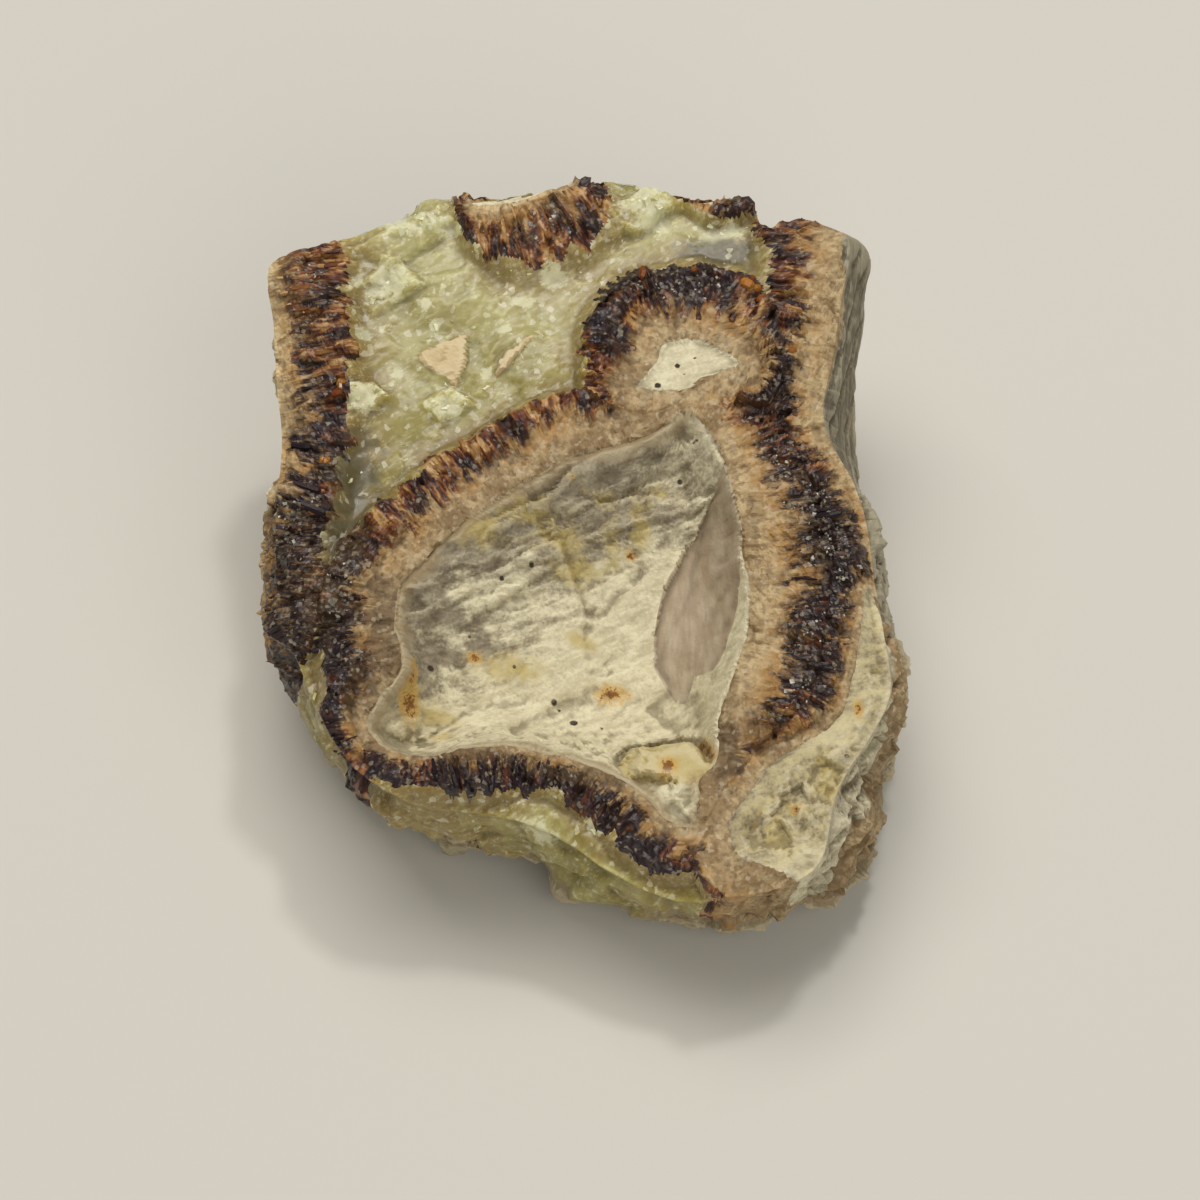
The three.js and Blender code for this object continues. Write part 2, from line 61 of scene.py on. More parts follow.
lens = bpy.data.cameras.new("camera")
lens.lens = LENS_MM
lens.clip_start = 0.001
camera = bpy.data.objects.new("camera", lens)
camera.location = Vector((CAMERA_AT - CENTRE) * MM)
camera.rotation_euler = (math.pi / 2 - CAMERA_DOWN, 0, 0)
bpy.context.scene.collection.objects.link(camera)
bpy.context.scene.camera = camera
print("camera at", [round(x, 4) for x in camera.location])

# %% [markdown]
# ## Outlines
# The face is tilted by FACE_TILT, with its far side raised. Its outlines are listed points in its own
# plane: u to the right, v up the face. The girdle, the widest line round the stone, also has a depth
# below the face. A smooth closed curve is run through each list, so few points are enough.

# %% The face and the girdle
FACE_TILT = math.radians(14)
FACE_HEIGHT = 11.0
FACE = [
    (11.4, -0.2), (10.9, 1.8), (10.0, 3.5), (9.7, 5.0), (10.1, 7.0), (10.5, 9.6), (10.9, 12.3), (9.4, 12.7),
    (7.9, 12.9), (6.4, 13.7), (4.2, 14.2), (2.5, 14.9), (0.7, 14.5), (-1.2, 14.8), (-2.7, 14.3),
    (-5.3, 14.0), (-7.9, 13.3), (-10.5, 12.1), (-12.9, 11.3), (-12.7, 8.7), (-12.5, 6.1), (-12.2, 3.5),
    (-12.3, 0.9), (-12.3, -1.7), (-12.0, -4.3), (-11.1, -6.4), (-10.1, -8.8), (-8.7, -10.7), (-6.8, -11.7),
    (-4.0, -12.1), (-1.3, -12.8), (0.8, -14.2), (2.7, -15.2), (4.5, -15.6), (7.2, -15.3), (9.2, -14.1),
    (9.9, -11.3), (11.3, -9.0), (12.1, -7.2), (11.9, -4.7), (11.6, -2.4),
]
GIRDLE = [
    (12.4, -0.7, 4.6), (11.7, 1.6, 4.2), (11.3, 4.4, 4.4), (11.4, 8.1, 4.8), (11.8, 11.9, 5.0),
    (11.7, 14.0, 4.0), (7.4, 15.0, 2.4), (2.5, 16.3, 2.2), (-1.2, 16.2, 2.2), (-5.4, 15.5, 2.2),
    (-8.1, 14.8, 2.0), (-10.7, 13.2, 1.8), (-13.2, 11.8, 1.5), (-12.9, 7.9, 2.2), (-12.6, 4.6, 2.8),
    (-13.2, 1.7, 3.2), (-13.5, -2.1, 3.6), (-12.8, -4.6, 3.4), (-11.7, -7.0, 3.2), (-10.2, -9.2, 3.2),
    (-7.9, -11.0, 3.4), (-5.3, -12.1, 3.8), (-2.5, -13.0, 4.2), (-0.3, -14.4, 4.6), (3.0, -15.3, 5.0),
    (6.6, -15.3, 5.2), (10.5, -13.9, 5.2), (12.0, -11.3, 5.4), (12.5, -8.8, 5.4), (13.4, -5.7, 5.2),
    (13.3, -3.3, 5.0),
]
FOOT_RADIUS = (7.4, 6.8)
FOOT_CENTRE = (0.4, 0.6)


def smooth(a, b, x):
    """0 below a, 1 above b, and a soft step between."""
    t = np.clip((x - a) / (b - a), 0, 1)
    return t * t * (3 - 2 * t)


def mix(a, b, t):
    return a + (b - a) * t


def closed_curve(points, steps):
    """A closed Catmull-Rom curve through points that carry any number of values each."""
    b = np.array(points, float)
    a, c, d = np.roll(b, 1, 0), np.roll(b, -1, 0), np.roll(b, -2, 0)
    t = (np.arange(steps) / steps)[None, :, None]
    a, b, c, d = (x[:, None, :] for x in (a, b, c, d))
    bend = 2 * a - 5 * b + 4 * c - d
    twist = 3 * b - a - 3 * c + d
    return (b + 0.5 * t * (c - a + t * (bend + t * twist))).reshape(-1, b.shape[2])


def ring_values(points, angle):
    """Radius and further values of an outline in the directions angle, seen from the middle."""
    ring = closed_curve(points, 6)
    around = np.arctan2(ring[:, 1], ring[:, 0])
    order = np.argsort(around)
    columns = [np.hypot(ring[:, 0], ring[:, 1]), *ring[:, 2:].T]
    return [np.interp(angle, around[order], column[order], period=2 * math.pi) for column in columns]


print("face outline:", len(FACE), "points, girdle:", len(GIRDLE), "points")

# %% [markdown]
# ## Limestone walls
# Calcite grew outwards from the limestone, so every layer is a distance from a wall. Each wall point says
# how far a hollow's bank runs in, how thick the pale layer is, and how thick the dark crystals outside it
# are. Where two walls stand close, their crystals meet and the spar between them dies out, which no painted
# ring would do.

# %% The walls
HOLLOW = [
    (4.0, 4.5, 3.0, 0.9, 0.6), (4.9, 3.9, 3.0, 1.2, 1.2), (5.6, 2.5, 2.2, 1.6, 2.0),
    (6.1, 0.9, 1.4, 1.8, 2.3), (6.3, -0.9, 1.4, 1.8, 2.6), (6.6, -2.6, 1.6, 1.6, 2.6),
    (6.6, -4.0, 1.8, 1.6, 2.3), (6.3, -5.5, 1.8, 1.6, 2.2), (5.7, -7.2, 1.6, 1.7, 1.8),
    (5.3, -8.6, 1.4, 1.5, 1.2), (5.2, -10.0, 1.8, 1.2, 0.5), (4.6, -10.8, 2.4, 1.0, 0.4),
    (4.5, -11.9, 2.6, 1.0, 0.6), (4.2, -12.8, 2.6, 0.8, 1.0), (3.3, -12.5, 2.6, 0.6, 1.4),
    (2.5, -11.6, 2.4, 0.5, 1.5), (1.4, -10.8, 2.0, 0.4, 1.4), (0.3, -10.2, 1.8, 0.4, 1.3),
    (-1.1, -9.8, 1.8, 0.4, 1.2), (-2.9, -9.5, 1.8, 0.3, 1.5), (-4.6, -9.6, 1.6, 0.3, 1.5),
    (-6.2, -10.0, 1.2, 0.2, 1.3), (-7.6, -9.7, 1.2, 0.4, 1.1), (-8.5, -8.8, 1.4, 0.6, 1.2),
    (-8.1, -7.7, 1.6, 0.9, 1.3), (-7.2, -6.2, 2.0, 1.4, 1.5), (-7.5, -4.4, 2.4, 1.3, 1.9),
    (-7.2, -2.6, 3.4, 1.3, 1.6), (-5.7, -0.9, 4.2, 1.5, 1.4), (-4.2, 0.5, 4.6, 1.4, 1.4),
    (-2.4, 1.7, 4.6, 1.4, 1.3), (-0.6, 2.6, 4.4, 1.5, 1.3), (1.5, 3.2, 4.0, 1.6, 0.8),
    (2.9, 3.8, 3.0, 1.2, 0.6),
]
PATCH = [
    (3.6, 7.9, 0.15, 1.3, 1.9), (4.9, 7.9, 0.15, 1.2, 2.0), (6.3, 6.9, 0.15, 1.0, 1.6),
    (5.7, 6.5, 0.15, 1.2, 0.5), (4.7, 6.1, 0.15, 1.6, 0.4), (4.2, 5.6, 0.15, 1.6, 0.4),
    (2.2, 5.7, 0.15, 1.3, 0.9), (2.9, 6.7, 0.15, 1.2, 1.8), (3.2, 7.5, 0.15, 1.3, 1.9),
]
LEFT_WALL = [
    (-13.2, 11.9, 1, 0.5, 2.6), (-12.9, 9.2, 1, 0.9, 2.2), (-12.7, 6.5, 1, 1.0, 2.4),
    (-12.4, 3.9, 1, 0.7, 2.2), (-12.7, 1.9, 1, 0.5, 2.3), (-13.2, 0.6, 1, 0.3, 2.8),
    (-13.4, -1.3, 1, 0.3, 2.6), (-13.4, -3.0, 1, 0.3, 3.0), (-13.4, -4.4, 1, 0.2, 2.2),
    (-15.2, -5.2, 1, 0.2, 0.6), (-15.7, -1.3, 1, 1, 1), (-15.5, 4.3, 1, 1, 1), (-15.5, 9.6, 1, 1, 1),
    (-15.2, 12.3, 1, 1, 1),
]
RIGHT_WALL = [
    (11.0, 13.2, 1, 1.5, 1.7), (10.7, 9.6, 1, 1.6, 1.7), (10.3, 7.2, 1, 1.5, 1.5), (9.8, 5.1, 1, 1.2, 1.2),
    (10.1, 3.5, 1, 0.9, 1.4), (10.9, 2.1, 1, 0.7, 1.8), (11.5, 0.2, 1, 0.5, 2.0), (11.8, -1.7, 1, 0.5, 2.0),
    (12.3, -3.4, 1, 0.6, 1.6), (14.6, -3.4, 1, 1, 1), (15.2, 3.0, 1, 1, 1), (15.4, 9.6, 1, 1, 1),
    (14.7, 13.5, 1, 1, 1),
]
SEPTUM = [
    (11.3, -2.8, 0.6, 0.5, 1.6), (10.9, -5.1, 0.8, 0.5, 1.6), (10.6, -6.8, 1.0, 0.5, 1.4),
    (10.0, -8.4, 1.2, 0.5, 1.1), (8.6, -9.5, 1.4, 0.6, 0.8), (7.3, -10.3, 1.4, 0.8, 0.4),
    (6.5, -11.3, 1.2, 1.0, 0.3), (5.9, -12.2, 1.2, 1.2, 0.3), (5.7, -13.1, 1.2, 1.4, 0.3),
    (6.0, -13.9, 1.0, 1.6, 0.3), (7.1, -14.4, 0.8, 1.6, 0.3), (8.6, -14.8, 0.8, 1.6, 0.3),
    (9.7, -14.5, 0.8, 1.8, 0.3), (9.9, -13.2, 0.8, 2.4, 0.3), (10.2, -12.0, 0.8, 2.4, 0.3),
    (11.3, -10.5, 0.8, 2.2, 0.3), (11.8, -9.3, 0.7, 2.2, 0.3), (12.1, -7.6, 0.6, 2.2, 0.3),
    (12.1, -5.9, 0.6, 2.0, 0.3), (11.9, -4.5, 0.6, 1.8, 0.3),
]
TOP_ISLAND = [
    (-4.6, 14.0, 1, 0.5, 0.4), (-3.9, 14.0, 1, 0.8, 1.5), (-3.0, 14.1, 1, 0.5, 2.4),
    (-2.1, 14.4, 1, 0.4, 2.6), (-1.2, 15.0, 1, 0.3, 2.6), (-0.6, 15.6, 1, 0.2, 1.4),
    (-0.7, 16.4, 1, 0.3, 0.6), (-3.0, 16.4, 1, 0.3, 0.6), (-4.8, 14.8, 1, 0.3, 0.2),
]
TOP_SPUR = [
    (4.6, 14.9, 1, 0.1, 0.7), (5.4, 14.6, 1, 0.1, 1.1), (6.0, 14.5, 1, 0.1, 0.9), (6.0, 15.2, 1, 0.1, 0.6),
    (4.6, 15.4, 1, 0.1, 0.6),
]
WALLS = [HOLLOW, PATCH, SEPTUM, LEFT_WALL, RIGHT_WALL, TOP_ISLAND, TOP_SPUR]
IN_HOLLOW, IN_PATCH, IN_SEPTUM, IN_RIGHT = map(WALLS.index, (HOLLOW, PATCH, SEPTUM, RIGHT_WALL))
LEAF = [
    (5.7, 2.3), (5.0, 1.0), (4.1, -0.6), (3.3, -2.0), (2.9, -3.7), (2.9, -5.3), (3.9, -6.8), (4.5, -5.9),
    (5.2, -5.8), (5.8, -4.6), (6.2, -2.9), (6.3, -1.0), (6.1, 0.8),
]
LOBE = [
    (1.5, -8.8), (1.4, -9.6), (1.9, -10.7), (3.2, -12.1), (4.2, -12.4), (4.4, -11.3), (5.1, -9.7),
    (4.8, -8.7), (4.2, -8.2), (2.6, -8.4),
]
KNOB = [
    (1.4, -9.5), (1.9, -8.8), (3.1, -8.5), (4.2, -8.6), (4.8, -9.5), (5.0, -10.3), (4.5, -10.8),
    (3.4, -10.9), (2.1, -10.8), (1.5, -10.3),
]
FLAKES = [
    [(-6.7, 7.3), (-5.7, 7.9), (-4.8, 8.3), (-4.9, 7.6), (-4.8, 7.0), (-5.3, 6.0), (-5.6, 6.4), (-6.0, 6.5)],
    [(-3.7, 6.4), (-3.2, 7.4), (-2.8, 7.7), (-2.3, 8.2), (-2.2, 8.1), (-2.6, 7.4), (-3.2, 6.7)],
]


def is_inside(outline, u, v):
    """True for the points (u, v) that lie inside a closed outline."""
    inside = np.zeros(u.shape, bool)
    ahead = np.roll(outline, -1, 0)
    for (ui, vi), (uj, vj) in zip(outline[:, :2], ahead[:, :2]):
        if vi == vj:
            continue
        crosses = (vi > v) != (vj > v)
        inside ^= crosses & (u < (uj - ui) * (v - vi) / (vj - vi) + ui)
    return inside


def in_chunks(work, *columns, size=8192):
    """Runs work on a few thousand points at a time, so that its tables stay small."""
    parts = [work(*(c[i : i + size] for c in columns)) for i in range(0, len(columns[0]), size)]
    return np.concatenate(parts)


def distance_to(outline, u, v):
    """Distance from each point to the nearest point of an outline."""

    def nearest(a, b):
        return np.hypot(a[:, None] - outline[:, 0], b[:, None] - outline[:, 1]).min(1)

    return in_chunks(nearest, u, v)


print("walls:", len(WALLS), "with", sum(map(len, WALLS)), "points")

# %% [markdown]
# ## Noise that can be repeated
# Two kinds of chance shape a stone. Soft noise is for wear and for slow swells. Flat breaks are for
# fractures and crystal faces: space is shared out among scattered seeds, and each seed's share is one
# tilted plane. Both start from fixed numbers, so every run gives the same stone.

# %% Soft noise and flat breaks
NOISE_CELLS = 32
NOISE = np.random.default_rng(41).random((NOISE_CELLS, NOISE_CELLS, NOISE_CELLS))


def scatter(cells, seed):
    """A number from 0 to 1 for each cell."""
    x = np.sin(cells[:, 0] * 127.1 + cells[:, 1] * 311.7 + cells[:, 2] * 74.7 + seed * 19.19) * 43758.5453
    return x - np.floor(x)


def stack(*columns):
    """Columns of numbers side by side, as points."""
    return np.stack(np.broadcast_arrays(*columns), 1).astype(float)


def soft_noise(p, size, seed=0, octaves=1):
    """Soft noise from -1 to 1, with its largest lumps about size across."""
    total, weight = 0.0, 0.0
    for octave in range(octaves):
        q = p / size * 2**octave + 7.3 * seed + 3.1 * octave
        cell = np.floor(q).astype(int)
        f = q - cell
        f = f * f * (3 - 2 * f)
        value = 0.0
        for corner in np.ndindex(2, 2, 2):
            i = (cell + corner) % NOISE_CELLS
            share = np.prod(np.where(corner, f, 1 - f), axis=1)
            value = value + share * NOISE[i[:, 0], i[:, 1], i[:, 2]]
        total = total + (2 * value - 1) * 0.5**octave
        weight += 0.5**octave
    return total / weight


STEP_WEAR = 0.008


def flat_breaks(p, size, seed, soft=STEP_WEAR):
    """Height of scattered tilted planes, about -0.5 to 0.5. soft wears the steps between them."""
    cell = np.floor(p / size)
    height, total = np.zeros(len(p)), np.zeros(len(p))
    for step in np.ndindex(3, 3, 3):
        c = cell + step - 1
        offset = p / size - c - np.stack([scatter(c, seed + axis) for axis in range(3)], 1)
        weight = np.exp(-(offset**2).sum(1) / soft)
        lean = sum(offset[:, axis] * (scatter(c, seed + 7 + axis) - 0.5) for axis in range(3))
        height += weight * (scatter(c, seed + 5) - 0.5 + 1.6 * lean)
        total += weight
    return height / total


def long_breaks(a, b, c, lengths, seed, soft=STEP_WEAR):
    """Flat breaks of other lengths in each of three directions."""
    return flat_breaks(stack(*(x / length for x, length in zip((a, b, c), lengths))), 1.0, seed, soft)


print("noise table:", NOISE.shape)

# %% [markdown]
# ## Measuring the layers
# For every point of the stone this finds the wall that it belongs to. The layer is 0 in limestone, 1 where
# the pale layer ends, 2 where the dark crystals end, and more in the spar. The run along the wall and the
# distance out from it are kept too: fibres are drawn in those two directions, so they fan round every
# corner.

# %% Layers, runs and growth
def wall_samples():
    """Fine samples of all walls: u, v, bank, pale, dark, run, direction of the wall (2), owner."""
    rows = []
    for owner, wall in enumerate(WALLS):
        curve = closed_curve(wall, 12)
        ahead = np.roll(curve, -1, 0)[:, :2] - curve[:, :2]
        step = np.hypot(*ahead.T)
        run = np.concatenate([[0], np.cumsum(step)[:-1]]) + 100 * owner
        along = ahead / step[:, None]
        rows.append(np.column_stack([curve, run, along, np.full(len(curve), owner)]))
    return np.vstack(rows)


def wall_around(u, v):
    """The wall that each point lies inside of, or -1."""
    inside = np.full(len(u), -1.0)
    for owner, curve in enumerate(CURVES):
        inside[is_inside(curve, u, v)] = owner
    return inside


SAMPLES = wall_samples()
CURVES = [closed_curve(wall, 6) for wall in WALLS]
FACE_CURVE, LEAF_CURVE, LOBE_CURVE, KNOB_CURVE = (closed_curve(line, 6) for line in (FACE, LEAF, LOBE, KNOB))
FLAKE_CURVES = [closed_curve(points, 6) for points in FLAKES]


def warp(u, v):
    """Shakes the outlines a little, so that no wall runs as smoothly as a drawn line."""
    p = stack(u, v, 0)
    shift = [0.12 * soft_noise(p, 1.1, seed, 2) + 0.04 * soft_noise(p, 0.3, seed + 2) for seed in (51, 52)]
    return u + shift[0], v + shift[1]


def measure(u, v):
    """For each point: layer, run, distance out, growth direction, dark thickness, owner and inside."""
    u, v = warp(u, v)

    def nearest(a, b):
        du, dv = a[:, None] - SAMPLES[:, 0], b[:, None] - SAMPLES[:, 1]
        sideways = du * SAMPLES[:, 6] + dv * SAMPLES[:, 7]
        away = np.sqrt(du**2 + dv**2 + 1.5 * sideways**2)
        pale, dark = SAMPLES[:, 3], SAMPLES[:, 4]
        layer = np.where(away < pale, away / pale, 1 + (away - pale) / dark)
        k = layer.argmin(1)
        row = np.arange(len(a))
        near = SAMPLES[k]
        out = away[row, k]
        to = np.column_stack([a, b]) - near[:, :2]
        run = near[:, 5] + (to * near[:, 6:8]).sum(1)
        grow = to / np.maximum(out, 1e-6)[:, None]
        return np.column_stack([layer[row, k], run, out, grow, near[:, 4], near[:, 8]])

    found = in_chunks(nearest, u, v, size=4096)
    inside = wall_around(u, v)
    found[inside >= 0, 0] = 0
    names = ("layer", "run", "out", "grow", "thick", "owner")
    columns = (0, 1, 2, slice(3, 5), 5, 6)
    return {"inside": inside, **{name: found[:, column] for name, column in zip(names, columns)}}


def fibres(m, depth, width, length, seed):
    """Soft streaks that run out from the walls, about width across and length long."""
    return soft_noise(stack(m["run"] / width, m["out"] / length, depth / (3 * width)), 1.0, seed, 2)


def with_direction(outline):
    """Points of a closed curve, each with the direction in which the curve runs."""
    curve = closed_curve(outline, 12)[:, :2]
    ahead = np.roll(curve, -1, 0) - curve
    return np.column_stack([curve, ahead / np.hypot(*ahead.T)[:, None]])


BORDERS = np.vstack([with_direction(outline) for outline in (*WALLS, LEAF, *FLAKES)])
SNAP = 0.06


def onto_borders(u, v):
    """Moves points that almost touch an outline onto it, so that borders don't zigzag along the triangles."""

    def shift(a, b):
        away = np.hypot(a[:, None] - BORDERS[:, 0], b[:, None] - BORDERS[:, 1])
        near = BORDERS[away.argmin(1)]
        gap = (near[:, 0] - a) * near[:, 3] - (near[:, 1] - b) * near[:, 2]
        gap = np.where((np.abs(gap) < SNAP) & (away.min(1) < 2 * SNAP), gap, 0)
        return np.column_stack([gap * near[:, 3], -gap * near[:, 2]])

    for _ in range(2):
        moved = in_chunks(shift, *warp(u, v), size=4096)
        u, v = u + moved[:, 0], v + moved[:, 1]
    return u, v


print("wall samples:", SAMPLES.shape)

# %% [markdown]
# ## The broken face
# Relief comes first as big forms, then finer. The limestone core has flaked out and left a hollow with
# ledges and a smooth leaf-shaped scar. Brown columns stand proud and are broken across at different heights.
# Spar lies a little lower, in broad cleavage lumps. All of it is real geometry, so that light rakes across
# it from any side.

# %% Relief of the hollows
HOLLOW_DEPTH = 3.3
BANK_STEEPNESS = 1.5
LOBE_RISE = 1.9
LEAF_DROP = 0.15
SEPTUM_DEPTH = 0.3
PATCH_DROP = 0.1


def reach_into(wall, u, v):
    """How far into its bank a point of a hollow lies: 0 at the rim, 1 where the bank ends."""
    curve = closed_curve(wall, 8)

    def least(a, b):
        return (np.hypot(a[:, None] - curve[:, 0], b[:, None] - curve[:, 1]) / curve[:, 2]).min(1)

    return in_chunks(least, u, v)


def along_beds(u, v):
    """Distances along and across the limestone's beds."""
    return 0.92 * u + 0.4 * v, 0.92 * v - 0.4 * u


def hollow_breaks(u, v):
    """Broken beds of the hollow: long thin ledges high on the left bank, small chips on the floor."""
    along, across = along_beds(u, v)
    p = stack(u, v, 0)
    high = smooth(-4.5, 0.5, across + 1.2 * soft_noise(p, 3.0, 36, 2))

    def ledges(rise, long, wide, seed, soft):
        return rise * long_breaks(along, across, 0, (long, wide, 1), seed, soft)

    beds = ledges(0.36, 4.0, 1.1, 61, 0.035) + ledges(0.12, 2.0, 0.45, 62, 0.03)
    chips = 0.24 * flat_breaks(p, 2.8, 5, 0.05) + ledges(0.05, 1.6, 0.7, 15, 0.025)
    chips += ledges(0.03, 0.9, 0.24, 66, 0.03)
    front = smooth(-7.6, -9.0, v)
    crumbs = (0.015 + 0.03 * high + 0.1 * front) * flat_breaks(p, 0.36, 17)
    return high * beds + chips + (crumbs + 0.16 * front * flat_breaks(p, 0.8, 18))


def hollow_depth(u, v):
    """Depth of the big hollow below the face, as positive millimetres."""
    reach = reach_into(HOLLOW, u, v)
    bank = 1 - np.exp(-BANK_STEEPNESS * reach**2 / (reach + 0.12))
    inner = smooth(0.05, 1.0, distance_to(CURVES[IN_HOLLOW], u, v))
    p = stack(u, v, 0)
    dug = HOLLOW_DEPTH * bank - inner * hollow_breaks(u, v)
    in_leaf, in_lobe, in_knob = (is_inside(curve, u, v) for curve in (LEAF_CURVE, LOBE_CURVE, KNOB_CURVE))
    scar = HOLLOW_DEPTH * bank + LEAF_DROP * smooth(6.2, 4.6, u)
    dug = np.where(in_leaf, scar, dug)
    dug = dug - in_lobe * 0.65 * LOBE_RISE * smooth(0, 1.3, distance_to(LOBE_CURVE, u, v))
    knob_rim = distance_to(KNOB_CURVE, u, v)
    knob = 0.35 * LOBE_RISE * smooth(0, 0.5, knob_rim) + 0.3 * flat_breaks(p, 0.9, 63, 0.02)
    crack = 0.35 * smooth(-10.2, -9.4, v) * np.exp(-(((knob_rim - 0.05) / 0.1) ** 2))
    dug = dug - in_knob * knob + crack
    return np.maximum(dug, 0.1) + 0.03 * soft_noise(p, 0.35, 3, 2) * (1 - in_leaf)


def septum_depth(u, v):
    """Depth of the second hollow, in the limestone sheet at the right."""
    p = stack(u, v, 0)
    bank = smooth(-0.3, 1.1, reach_into(SEPTUM, u, v))
    inner = smooth(0.2, 1.2, distance_to(CURVES[IN_SEPTUM], u, v))
    flakes = 0.5 * flat_breaks(p, 2.4, 6, 0.02) + 0.22 * flat_breaks(p, 0.9, 16)
    flakes += 0.1 * flat_breaks(p, 0.34, 19)
    return SEPTUM_DEPTH * bank - inner * flakes + 0.05 * soft_noise(p, 0.4, 4, 2)


print("hollow", HOLLOW_DEPTH, "mm deep, second hollow", SEPTUM_DEPTH, "mm")

# %% Relief of the calcite, and the whole face
COLUMN_RISE = 0.3
SPAR_DROP = 0.45
BROAD_SWELL = 0.3
EDGE_ROUNDING = 0.3


def column_relief(m, depth):
    """Bundles of brown columns, broken off at different heights, with finer ribs along them."""
    sizes = (((0.9, 1.8, 1.6), 21, 0.05), ((0.42, 1.4, 0.9), 23, 0.02), ((0.2, 0.9, 0.5), 22, STEP_WEAR))
    bundles, columns, ribs = (long_breaks(m["run"], m["out"], depth, *size) for size in sizes)
    dark = smooth(0.85, 1.2, m["layer"])
    return dark * (0.4 * bundles + 0.22 * columns + 0.1 * ribs) + (1 - dark) * (0.05 * columns + 0.03 * ribs)


BLOCKS = [
    (2.4, 14.1, 1.3, 0.9, 0.5), (-7.4, 12.4, 1.6, 0.8, 0.35), (-8.2, 10.3, 1.3, 0.8, 0.3),
    (-5.6, 5.2, 0.8, 0.6, 0.3), (0.6, 13.0, 1.1, 0.7, 0.25), (-8.8, 5.3, 0.8, 0.6, 0.3),
    (-6.0, 13.4, 0.9, 0.5, 0.4),
]


def along_cleavage(u, v):
    """Distances along and across the spar's cleavage."""
    return 0.84 * u + 0.54 * v, 0.84 * v - 0.54 * u


def spar_relief(u, v):
    """Cleavage of the spar: low lumps and steps that all face one way, and a few blocks that stand proud."""
    p = stack(u, v, 0)
    along, across = along_cleavage(u, v)
    height = 0.28 * flat_breaks(p, 2.2, 3, 0.12) + 0.03 * soft_noise(p, 0.9, 5, 2)
    height += 0.08 * long_breaks(along, across, 0, (1.5, 0.9, 1), 31, 0.015)
    height += 0.04 * long_breaks(along, across, 0, (0.6, 0.34, 1), 32, 0.015)
    for cu, cv, long, wide, rise in BLOCKS:
        a, b = along_cleavage(u - cu, v - cv)
        reach = np.maximum(np.abs(a + 0.3 * b) / long, np.abs(b) / wide) + 0.15 * soft_noise(p, 0.7, 34, 2)
        height += smooth(1.05, 0.8, reach) * (rise * (1 + 0.4 * a / long) + 0.12 * flat_breaks(p, 0.4, 38))
    return height


def relief(u, v, m):
    """Height of the face above its mean plane, in millimetres."""
    waves = np.sin(0.32 * u + 0.8) * np.cos(0.27 * v - 0.4) + 0.3 * np.sin(0.7 * v + u)
    edge = EDGE_ROUNDING * (1 - smooth(0, 0.7, distance_to(FACE_CURVE, u, v)))
    base = BROAD_SWELL * waves - edge
    p = stack(u, v, 0)
    layer, inside = m["layer"], m["inside"]
    sugar = 0.06 * flat_breaks(p, 0.3, 41) + 0.1 * flat_breaks(p, 0.8, 42, 0.06)
    sugar += 0.04 * soft_noise(p, 0.5, 6, 2)
    calcite = COLUMN_RISE * smooth(0.8, 1.3, layer) + column_relief(m, 0 * u) + sugar
    spar = spar_relief(u, v) - SPAR_DROP
    for curve in FLAKE_CURVES:
        spar = np.where(is_inside(curve, u, v), 0.35 * spar - 0.1 + 0.06 * flat_breaks(p, 0.5, 37), spar)
    height = mix(calcite, spar, smooth(1.9, 2.35, layer))
    for owner, dig in ((IN_HOLLOW, hollow_depth), (IN_SEPTUM, septum_depth)):
        here = inside == owner
        height[here] = -dig(u[here], v[here])
    here = inside == IN_PATCH
    height[here] = -PATCH_DROP * smooth(0, 1, reach_into(PATCH, u[here], v[here])) + 0.25 * sugar[here]
    return base + height


print("columns rise", COLUMN_RISE, "mm, spar drops", SPAR_DROP, "mm")

# %% [markdown]
# ## The whole stone as rings
# One closed mesh holds the face, the sides, the underside and the foot. It is knitted from rings of
# vertices, like a basket: each ring has as many vertices as its length needs, and neighbouring rings of
# different counts are stitched with triangles. The face gets the finest rings, because it is what one looks
# at.

# %% Rings and stitches
FACE_RINGS = 132
SIDE_RINGS = 27
UNDER_RINGS = 30
FOOT_RINGS = 12
SIDE_BULGE = 0.15
SIDE_BREAKS = dict(size=3.6, height=0.9)
UNDER_BREAKS = dict(size=5.5, height=0.7)
SHALE_BED, SHALE_STEP = 1.7, 0.3


def place(u, v, depth):
    """From the face's own plane to millimetres in the built frame."""
    y = v * math.cos(FACE_TILT) + depth * math.sin(FACE_TILT)
    z = FACE_HEIGHT + v * math.sin(FACE_TILT) - depth * math.cos(FACE_TILT)
    return np.stack(np.broadcast_arrays(u, y, z), 1)


def unplace(p):
    """From millimetres in the built frame back to u, v and depth."""
    y, z = p[:, 1], p[:, 2] - FACE_HEIGHT
    v = y * math.cos(FACE_TILT) + z * math.sin(FACE_TILT)
    return p[:, 0], v, y * math.sin(FACE_TILT) - z * math.cos(FACE_TILT)


def ring_plan():
    """For each ring: its zone, its share of that zone, and its number of vertices."""
    widest, narrow = 6 * FACE_RINGS, 18 * FOOT_RINGS
    plan = [("face", k / FACE_RINGS, max(1, 6 * k)) for k in range(FACE_RINGS + 1)]
    zones = [("side", SIDE_RINGS, widest, widest), ("under", UNDER_RINGS, widest, narrow)]
    zones.append(("foot", FOOT_RINGS, narrow, 0))
    for name, rings, first, last in zones:
        plan += [(name, k / rings, max(1, round(mix(first, last, k / rings)))) for k in range(1, rings + 1)]
    return plan


